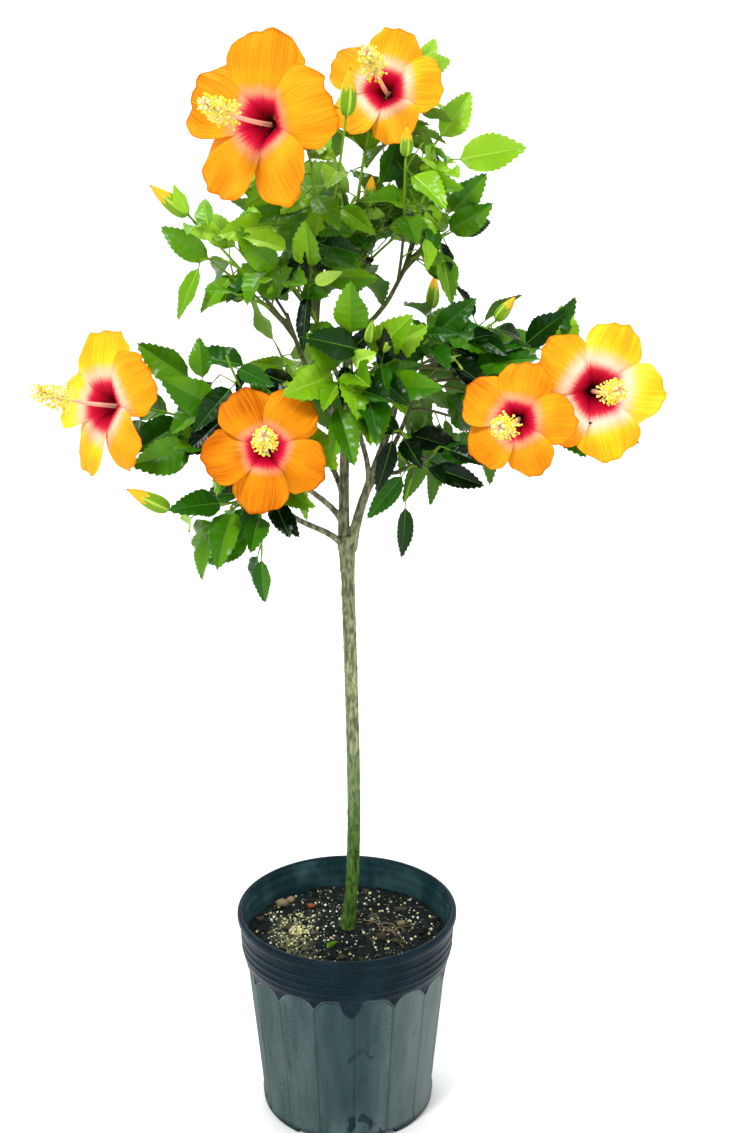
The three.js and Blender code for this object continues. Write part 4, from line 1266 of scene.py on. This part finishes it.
def add_column(joined, end):
    _, axis, across, up = bloom_frame(end)
    forward = np.linspace(COLUMN_FOOT, COLUMN_LENGTH - 6, COLUMN_RINGS)
    joined.add(*tube(column_at(end, forward), np.linspace(2.5, 1.3, COLUMN_RINGS), 10), 0)
    draws = random(int(end.reach + end.roll) + 400)
    for k in range(STAMENS):
        share = (k + next(draws)) / STAMENS
        start = column_at(end, mix(STAMENS_FROM, 0.93, share) * COLUMN_LENGTH)
        out = around(across, up, k * GOLDEN_ANGLE + next(draws))
        way = unit(out + axis * (0.15 + 0.6 * share + 0.3 * (next(draws) - 0.5)))
        way = way * STAMEN_LENGTH * (0.75 + 0.5 * next(draws)) * (1.15 - 0.35 * share)
        joined.add(*tube([start, start + way * 0.5 + axis * 0.4, start + way], (0.5, 0.46, 0.4), 4), 1)
        anther = ball(start + way, ANTHER_RADIUS * (0.8 + 0.5 * next(draws)))
        joined.add(*anther, 2 + (next(draws) > 0.6))
    start = column_at(end, COLUMN_LENGTH - 8)
    for k in range(PADS):
        out = around(across, up, 2 * math.pi * (k + 0.3) / PADS)
        tip = start + axis * 7 + out * 4.5
        joined.add(*tube([start, start + axis * 4 + out * 1.4, tip], (0.5, 0.45, 0.4), 5), 0)
        joined.add(*ball(tip, PAD_RADIUS), 4)


def make_columns():
    joined = Joined()
    for end in BLOOMS:
        add_column(joined, end)
    finish_piece(joined.make("stamens", plain_looks("column", COLUMN_COLOURS, 0.6, 0.1)), "foliage")


# Green parts that hold blooms, and the buds
CALYX_COLUMNS = 40
CALYX_ROWS = 12
CALYX_LENGTH = 26
BRACTS = 7
BUD_ROWS = 22
BUD_OPEN = 0.52
BUD_TIP = 0.93
BUD_COLOURS = [(112, 154, 30), (90, 134, 26), (170, 198, 70), (232, 172, 34), (160, 84, 30)]


def lathe(start, axis, stations, radius_at):
    """A body turned about an axis. Stations are (forward, radius), and radius_at changes a
    radius by its station and turn."""
    aside = square_to(axis)
    other = np.cross(axis, aside)
    turns = turns_of(CALYX_COLUMNS)
    rows = []
    for i, (forward, radius) in enumerate(stations):
        reach = radius_at(i / (len(stations) - 1), turns) * radius
        ring = np.outer(np.cos(turns) * reach, aside) + np.outer(np.sin(turns) * reach, other)
        rows.append(start + axis * forward + ring)
    return np.concatenate(rows), [grid_faces(len(stations), CALYX_COLUMNS, True)]


def add_bracts(joined, start, axis, length):
    aside = square_to(axis)
    for k in range(BRACTS):
        out = around(aside, np.cross(axis, aside), 2 * math.pi * k / BRACTS)
        way = unit(out * 0.7 + axis) * length
        joined.add(*tube([start, start + way * 0.5, start + way + axis * 1.5], (0.9, 0.8, 0.15), 4), 1)


def add_calyx(joined, end):
    throat, axis, *_ = bloom_frame(end)
    start = throat - axis * CALYX_BACK
    forward = np.linspace(0, 1, CALYX_ROWS)
    radius = 2 + 8.5 * np.sin(np.minimum(forward * 1.25, 1) * math.pi / 2)

    def lobes(part, turns):
        wave = np.cos(PETALS * turns)
        return 1 + 0.05 * wave - 0.25 * max(part - 0.6, 0) * (1 - wave)

    joined.add(*lathe(start, axis, list(zip(CALYX_LENGTH * forward, radius)), lobes), 0)
    add_bracts(joined, start, axis, 14)


def add_bud(joined, shoot):
    """A bud: ribbed green sepals that end in points, and the furled petals beyond them."""
    start = shoot.curve.at(1)
    axis = unit(np.array(shoot.end.place, float) - start)
    length = shoot.end.length
    part = np.linspace(0, 1, BUD_ROWS)
    full = np.sin(math.pi * part**0.62) ** 0.8
    girth = np.maximum((2 + length * 0.12) * 1.12 * full, 0.25)

    def ribs(row, turns):
        return 1 + 0.07 * np.cos(PETALS * (turns + 1.6 * max(row - BUD_OPEN, 0)))

    points, faces = lathe(start, axis, list(zip(length * part, girth)), ribs)
    turns = (np.arange(CALYX_COLUMNS) + 0.5) * 2 * math.pi / CALYX_COLUMNS
    opened = 1.1 if length < 30 else BUD_OPEN
    rows = (np.arange(BUD_ROWS - 1)[:, None] + 0.5) / (BUD_ROWS - 1)
    point = opened + 0.32 * np.abs(((turns * PETALS / (2 * math.pi)) % 1) - 0.5)
    stripe = np.abs(np.cos(PETALS * turns / 2)) > 0.93
    looks = np.where(rows < point, np.where(stripe, 2, 0), 3 + (rows > BUD_TIP))
    joined.add(points, faces, [looks.ravel()])
    add_bracts(joined, start, axis, 6 + length * 0.16)


def make_green_parts(masses):
    joined = Joined()
    for end in BLOOMS:
        add_calyx(joined, end)
    for shoot in [shoot for mass in masses for shoot in mass.shoots if shoot.end.kind == "bud"]:
        add_bud(joined, shoot)
    finish_piece(joined.make("buds_and_calyces", plain_looks("bud", BUD_COLOURS, 0.5, 0.12)), "foliage")


# Pot: its outside and inside as one turned section
POT_WALL = 3
POT_FLOOR = 3
FOOT_RADIUS = 101.5
SHOULDER = (118.5, 190)
BAND = (121.5, 199)
BAND_SPREAD = 2
RINGS_AT = (207, 216, 226)
RING_HEIGHT = 1.3
PANELS = 16
PANEL_TURN = math.radians(5)
PANEL_SINK = 1.5
PANEL_TOP = 187
PANEL_RISE = 11
PANEL_FOOT = 13
PANEL_ARCH = 15
GROOVE_WIDTH = 0.055
GROOVE_DEPTH = 1.8
NOTCHES = 6
NOTCH_SIZE = (17, 8)
# Half a panel's columns, as shares of its width, close together at its groove
PANEL_COLUMNS = [0, 0.01, 0.025, 0.045, 0.07, 0.11, 0.17, 0.25, 0.34, 0.42]


def outside_radius(height):
    """The pot's outer section below the rim."""
    section = [
        (0, FOOT_RADIUS - 2.5), (3, FOOT_RADIUS - 0.6), (9, FOOT_RADIUS), SHOULDER[::-1],
        (SHOULDER[1] + 4, SHOULDER[0] + 0.8), BAND[::-1], (238, BAND[0] + BAND_SPREAD),
    ]
    radius = np.interp(height, *zip(*section))
    for ring in RINGS_AT:
        radius = radius + RING_HEIGHT * np.exp(-(((height - ring) / 1.5) ** 2))
    return radius


def panel_form(height, turn):
    """How far the wall is sunk at the flat panels, and where their grooves run."""
    share = ((turn - PANEL_TURN) * PANELS / (2 * math.pi)) % 1 - 0.5
    front = np.maximum(-np.sin(turn), 0) ** 2
    top = PANEL_TOP + PANEL_RISE * front - PANEL_ARCH * np.abs(2 * share) ** 3
    inside = smooth_step(top - height, 0, 3) * smooth_step(height, PANEL_FOOT, PANEL_FOOT + 3)
    flat = 1.1 * (1 - (2 * share) ** 2) - 0.35
    side = np.abs(np.abs(2 * share) - 1)
    groove = GROOVE_DEPTH * np.exp(-((side / GROOVE_WIDTH) ** 2))
    groove = groove * smooth_step(188 - height, 0, 6) * smooth_step(height, 4, 9)
    return inside * (PANEL_SINK + flat * 0.7) + groove


# Sections of the pot as (height, radius): its underside from the middle out, and the rolled rim
UNDERSIDE = [(2.5, 0.5), (2.5, 40), (2.5, 84), (1.2, 90), (0.2, 93), (0, 96)]
RIM = [
    (238, 124.2), (239, 125.6), (240.2, 126.7), (242, 127.3), (244.5, 127.5), (247, 127.4), (248.8, 126.8),
    (249.7, 125.6), (250, 124), (249.8, 122.4), (249, 121.2), (247.4, 120.6), (244, 120.3), (240, 120.1),
    (237.5, 119.9), (236.4, 119.2), (232, 118.9), (228, 118.7), (225, 118.6), (223.6, 117.9), (219, 117.7),
    (214, 117.5), (210, 117.2),
]


def pot_sections():
    """(height, radius, whether panels show) from the middle of the underside, out and up over
    the rim, and down the inside."""
    outside = np.concatenate([np.linspace(0.6, 9, 6), np.linspace(12, 188, 60), np.linspace(189, 237, 56)])
    inside = np.linspace(198, 9, 8)
    lined = np.interp(inside, [0, 190], [FOOT_RADIUS, SHOULDER[0]]) - POT_WALL - 2.2
    floor = [(POT_FLOOR + 2.6, 94), (POT_FLOOR + 2.5, 60), (POT_FLOOR + 2.5, 0.5)]
    rows = [(*one, 0) for one in UNDERSIDE]
    rows += [(height, outside_radius(height), 1) for height in outside]
    return rows + [(*one, 0) for one in [*RIM, *zip(inside, lined), *floor]]


def pot_turns():
    """The turns of the pot's columns."""
    part = [*PANEL_COLUMNS, 0.5, *(1 - one for one in PANEL_COLUMNS[:0:-1])]
    return PANEL_TURN + np.concatenate([k + np.array(part) for k in range(PANELS)]) * 2 * math.pi / PANELS


def drain_cutter():
    """Blocks that cut the drain notches out of the foot."""
    wide, tall = NOTCH_SIZE
    angles = np.linspace(0, math.pi, 9)
    profile = [(math.cos(one) * wide / 2, tall * math.sin(one) ** 0.6) for one in angles[1:-1]]
    profile = [(wide / 2, -1), *profile, (-wide / 2, -1)]
    cutter = Joined()
    for k in range(NOTCHES):
        out = level_way(2 * math.pi * (k + 0.5) / NOTCHES - math.pi / 2)
        aside = np.cross(UP, out)
        rows = []
        for reach in (FOOT_RADIUS - 22, FOOT_RADIUS + 8):
            rows += [out * reach + aside * a + UP * h for a, h in profile]
        cutter.add(rows, closed_faces(2, len(profile)))
    return cutter.make("drain_cutter", [], smooth=False)


def make_pot():
    turns, sections = pot_turns(), pot_sections()
    rings = []
    for height, radius, panels in sections:
        reach = radius - panel_form(height, turns) if panels else radius
        rings.append(level_ring(turns, reach, height))
    made = single("pot_shell", np.concatenate(rings), closed_faces(len(sections), len(turns)), [pot_look()])
    cutter = drain_cutter()
    cut = made.modifiers.new("drains", "BOOLEAN")
    cut.operation, cut.solver, cut.object = "DIFFERENCE", "EXACT", cutter
    apply_modifiers(made)
    bpy.data.objects.remove(cutter)
    finish_piece(made, "pot_plastic", "pot")


def pot_look():
    """Blue-black plastic: dust on the sunk panels, a darker band that runs down between them,
    and dark blotches low down, with painted sheen: darker in the middle of the front, paler at
    the right, and a paler teal inside."""
    look = Look("pot_plastic", Specular_IOR_Level=0.06)
    across, away, height = look.axes()
    fine, cloud = look.noise(420, 4), look.noise(26, 4, (1, 1, 0.6))
    streak, speck = look.noise(60, 3, (1, 1, 0.12)), look.noise(1500, 1)
    band = look.mixed(cloud.between(0.3, 0.75), (4, 20, 29), (11, 34, 44))
    panel_dust_and_sheen = look.mixed(streak.between(0.3, 0.7), (43, 63, 64), (72, 91, 89))
    panel_dust_and_sheen = look.mixed(cloud.between(0.5, 0.75) * 0.6, panel_dust_and_sheen, (84, 84, 96))
    panel_dust_and_sheen = look.mixed(fine.between(0.4, 0.7) * 0.3, panel_dust_and_sheen, (96, 108, 106))
    # Painted sheen: darker in the middle of the front, where the wall faces forward, and paler at the right,
    # where it turns away
    front = away.between(-0.06, -0.09) * across.between(0.05, 0.015) * across.between(-0.06, 0)
    panel_dust_and_sheen = look.mixed(front * height.between(0.01, 0.06) * 0.7, panel_dust_and_sheen, (30, 54, 58))
    panel_dust_and_sheen = look.mixed(across.between(0.03, 0.09) * 0.35, panel_dust_and_sheen, (124, 134, 132))
    # Where on its panel a place is, and how far below the panel's arched top
    turn = look.maths("ARCTAN2", away, across)
    share = (turn - PANEL_TURN) * (PANELS / (2 * math.pi)) % 1 - 0.5
    front = look.maths("MAXIMUM", look.maths("SINE", turn) * -1) ** 2
    top = front * (PANEL_RISE * MM) + PANEL_TOP * MM
    below = top - abs(share * 2) ** 3 * (PANEL_ARCH * MM) - height
    ragged = below + (cloud - 0.5) * 0.02
    blotch = look.noise(30, 2, (1, 1, 0.8)).between(0.655, 0.675) * height.between(0.15, 0.1)
    dusty = ragged.between(-0.001, 0.004) * height.between(0.002, 0.014) * (1 - blotch * 0.8)
    # A blunt drip down the front
    aside = abs(across - 0.007 + (cloud - 0.5) * 0.02) * 1.6
    drip = height - ((aside / 0.02) ** 2 * 0.014 + 0.172)
    drip = drip.between(-0.001, 0.003) * away.between(-0.05, -0.08)
    dusty = dusty * (1 - drip * 0.95)
    base = look.mixed(dusty, band, panel_dust_and_sheen)
    # A pale ragged line along the edge of each arch, and the inside in a paler teal than the band: the
    # plastic's own teal with painted sheen
    edge = abs(below - 0.0012).between(0.0018, 0.0006) * fine.between(0.38, 0.55) * (1 - drip)
    base = look.mixed(edge * 0.6, base, (112, 128, 128))
    reach = look.maths("SQRT", across**2 + away**2)
    inside = reach.between(0.1212, 0.1204) * height.between(0.2, 0.205)
    base = look.mixed(inside, base, look.mixed(cloud.between(0.4, 0.7), (20, 48, 52), (48, 78, 82)))
    base = look.mixed(speck.between(0.66, 0.72) * 0.3, base, (130, 140, 138))
    return look.set(
        Base_Color=base,
        Roughness=dusty * 0.2 + 0.3 + fine * 0.12,
        Normal=look.bump(fine + speck * 0.3, 0.25, 0.0004),
    )


# Potting mix: a mounded top with what lies on it
MIX_EDGE_HEIGHT = 212.6
MIX_RADIUS = 116.6
MIX_FLOOR = 176
MIX_RINGS = 140
MIX_COLUMNS = 360
SEAT_RADIUS = 12
PERLITE = 640
YELLOW_PERLITE = 310
BARK_BITS = 190
ROOTS = 14
ROOT_STEPS = 7
SCATTER_SEED = 808
BIT_COLOURS = [
    (230, 228, 214), (222, 214, 150), (184, 186, 150), (60, 56, 44), (132, 66, 44), (22, 26, 24),
    (122, 108, 82), (122, 184, 40),
]
# A reddish chip behind on the left, and clumps of root: place, size and look
CLUMPS = [(-44, 56, 5, 4), (-80, 66, 8, 6), (-70, 76, 6, 6), (64, 14, 6, 6), (40, -22, 7, 3)]


def mix_height(x, y):
    """The top of the mix, coarse but for the flat seat round the trunk."""
    reach = math.hypot(x, y)
    mound = mix(MIX_SEAT_HEIGHT, MIX_EDGE_HEIGHT, smooth_step(reach, SEAT_RADIUS, MIX_RADIUS))
    loose = smooth_step(reach, SEAT_RADIUS - 3, SEAT_RADIUS + 10)
    crumbs = 3.4 * noise.noise((x * 0.045, y * 0.045, 3.1)) + 2.2 * noise.noise((x * 0.13, y * 0.13, 7.7))
    crumbs += 1.6 * abs(noise.noise((x * 0.32, y * 0.32, 1.3))) + 0.8 * noise.noise((x * 0.75, y * 0.75, 2.2))
    return mound + crumbs * loose


def on_mix(x, y, above=0):
    return np.array([x, y, mix_height(x, y) + above])


def make_mix():
    turns = turns_of(MIX_COLUMNS)
    rings = []
    for reach in [0.4, *np.linspace(2, MIX_RADIUS, MIX_RINGS)]:
        rings.append([on_mix(x, y) for x, y in zip(np.cos(turns) * reach, np.sin(turns) * reach)])
    rings.append(level_ring(turns, MIX_RADIUS - 4, MIX_FLOOR))
    faces = [face[:, ::-1] for face in closed_faces(len(rings), MIX_COLUMNS)]
    made = single("mix_top", np.concatenate(rings), faces, [mix_look()])
    finish_piece(made, "potting_mix", "potting_mix")


def mix_look():
    look = Look("potting_mix", Specular_IOR_Level=0.06)
    across, away, _ = look.axes()
    coarse, fine = look.noise(190, 5), look.noise(900, 4)
    damp = look.mixed(coarse.between(0.35, 0.66), (4, 10, 11), (29, 38, 37))
    dry = look.mixed(fine.between(0.58, 0.78), damp, (66, 74, 68))
    # Pale grains at the left
    corner = across.between(-0.03, -0.055) * away.between(0.045, 0.01) * across.between(-0.094, -0.076)
    corner = corner * (coarse + fine * 0.8).between(0.86, 1.02)
    return look.set(
        Base_Color=look.mixed(corner * 0.6, dry, (140, 144, 106)),
        Roughness=fine * 0.2 + 0.5,
        Normal=look.bump(coarse + fine, 0.9, 0.0015),
    )


def scattered(draws):
    """A place on the mix, clear of the trunk."""
    away = math.sqrt(mix((TRUNK_RADIUS + 7) ** 2, (MIX_RADIUS - 6) ** 2, next(draws)))
    turn = 2 * math.pi * next(draws)
    return on_mix(away * math.cos(turn), away * math.sin(turn))


def crumb(place, size, flat, draws):
    """A rough bit: a ball pulled out of true and laid flat."""
    points, faces = ball(np.zeros(3), 1.0, 5, 8)
    jitter = np.array([noise.noise(tuple(p * 1.7 + place * 0.37)) for p in points])
    narrow = size * (0.55 + 0.4 * next(draws))
    points = points * (1 + 0.5 * jitter)[:, None] * np.array([size, narrow, size * flat])
    points = np.array([turned(p, UP, 6.3 * float(place[0] % 1)) for p in points])
    return points + place + UP * size * flat * 0.35, faces


def make_scatter():
    """Perlite, bits of bark, roots and one seedling leaf on the mix."""
    draws = random(SCATTER_SEED)
    joined = Joined()
    for k in range(PERLITE + YELLOW_PERLITE):
        place = scattered(draws)
        look = int(next(draws) * 2.99)
        if k >= PERLITE:
            # Yellower specks, thickest at the front left
            x, y = [next(draws) + next(draws) - 1 for _ in range(2)]
            place, look = on_mix(-60 + 34 * x, 2 + 42 * y), 1 + int(next(draws) * 1.99)
        joined.add(*crumb(place, 0.5 + 1.5 * next(draws) ** 3, 0.8, draws), look)
    for _ in range(BARK_BITS):
        place = scattered(draws)
        bit = crumb(place, 1.8 + 4.2 * next(draws) ** 2, 0.32, draws)
        joined.add(*bit, 3 + 2 * int(next(draws) * 1.99))
    for x, y, size, look in CLUMPS:
        joined.add(*crumb(on_mix(x, y, 1), size, 0.7, draws), look)
    for _ in range(ROOTS):
        middle = np.array([48 + 26 * (next(draws) - 0.5) * 2, -4 + 34 * (next(draws) - 0.5) * 2, 0])
        turn = 6.3 * next(draws)
        length = 12 + 24 * next(draws)
        line = []
        for step in range(ROOT_STEPS + 1):
            along = (step / ROOT_STEPS - 0.5) * length
            bend = 3.5 * math.sin(step * 0.9 + turn * 3)
            x, y, _ = middle + level_way(turn) * along + np.cross(UP, level_way(turn)) * bend
            line.append(on_mix(x, y, 0.6 + 1.4 * math.sin(math.pi * step / ROOT_STEPS)))
        joined.add(*tube(line, np.full(ROOT_STEPS + 1, 0.3 + 0.3 * next(draws)), 5), 6)
    seedling = SimpleNamespace(
        root=on_mix(-23, -46, 0.5), petiole=2, length=20, bend=0.1,
        along=unit(np.array([0.5, -0.2, 0.55])), side=unit(np.array([0.8, 0.35, -0.6])),
    )
    seedling.normal = unit(np.cross(seedling.along, seedling.side))
    joined.add(leaf_blade(seedling, 3), [BLADE_FACES], 7)
    finish_piece(joined.make("mix_bits", plain_looks("mix_bits", BIT_COLOURS, 0.85, 0.06)), "potting_mix")


# What the object stands on, the light and the camera
FLOOR_RADIUS = 2.6
FLOOR_COLUMNS = 96
BACKDROP_RADIUS = 5.6
BACKDROP_HEIGHT = 6
WORLD_LIGHT = 0.7
# Each light's place, width, watts and aim
LIGHTS = {
    "key": ((-1.4, -2.2, 3.6), 0.9, 105, (0, 0, 0.8)),
    "fill": ((2.6, -1.8, 1.6), 2.6, 20, (0, 0, 0.8)),
    "backdrop": ((0, 1.3, 4.6), 2.4, 190, (0, 3.6, 0)),
}


def make_stage():
    """A pale floor that turns up into a backdrop all round."""
    look = Look("floor", Base_Color=(0.88, 0.88, 0.88), Roughness=0.95, Specular_IOR_Level=0.1)
    bend = BACKDROP_RADIUS - FLOOR_RADIUS
    rows = [(0.001, 0), (1.3, 0), (FLOOR_RADIUS, 0)]
    for angle in np.arange(1, 17) * math.pi / 32:
        rows.append((FLOOR_RADIUS + bend * math.sin(angle), bend * (1 - math.cos(angle))))
    rows.append((BACKDROP_RADIUS, BACKDROP_HEIGHT))
    points = [level_ring(turns_of(FLOOR_COLUMNS), reach, height) / MM for reach, height in rows]
    faces = [grid_faces(len(rows), FLOOR_COLUMNS, True)]
    single("floor", np.concatenate(points), faces, [look.material])
    world = bpy.data.worlds.new("studio")
    world.use_nodes = True
    background = world.node_tree.nodes["Background"].inputs
    background["Color"].default_value = (1, 1, 1, 1)
    background["Strength"].default_value = WORLD_LIGHT
    bpy.context.scene.world = world


def make_light(name, place, size, watts, aim):
    data = bpy.data.lights.new(name, "AREA")
    data.shape, data.size, data.energy = "DISK", size, watts
    made = bpy.data.objects.new(name, data)
    made.location = place
    way = unit(np.array(place) - np.array(aim))
    made.rotation_euler = (math.acos(way[2]), 0, math.atan2(way[1], way[0]) + math.pi / 2)
    bpy.context.scene.collection.objects.link(made)


def make_camera():
    data = bpy.data.cameras.new("camera")
    data.sensor_width = SENSOR
    data.lens = CAMERA_FOCAL * SENSOR / max(PHOTO_SIZE)
    made = bpy.data.objects.new("camera", data)
    made.location = CAMERA_PLACE
    made.rotation_euler = (math.pi / 2 - CAMERA_DOWN, 0, 0)
    bpy.context.scene.collection.objects.link(made)
    bpy.context.scene.camera = made
    bpy.context.scene.view_settings.view_transform = "Standard"


make_camera()
make_stage()
for name, light in LIGHTS.items():
    make_light(name, *light)
make_pot()
make_mix()
make_scatter()
make_bark()
grown = grow_masses()
make_leaves(grown)
make_twigs(grown)
make_petals()
make_columns()
make_green_parts(grown)
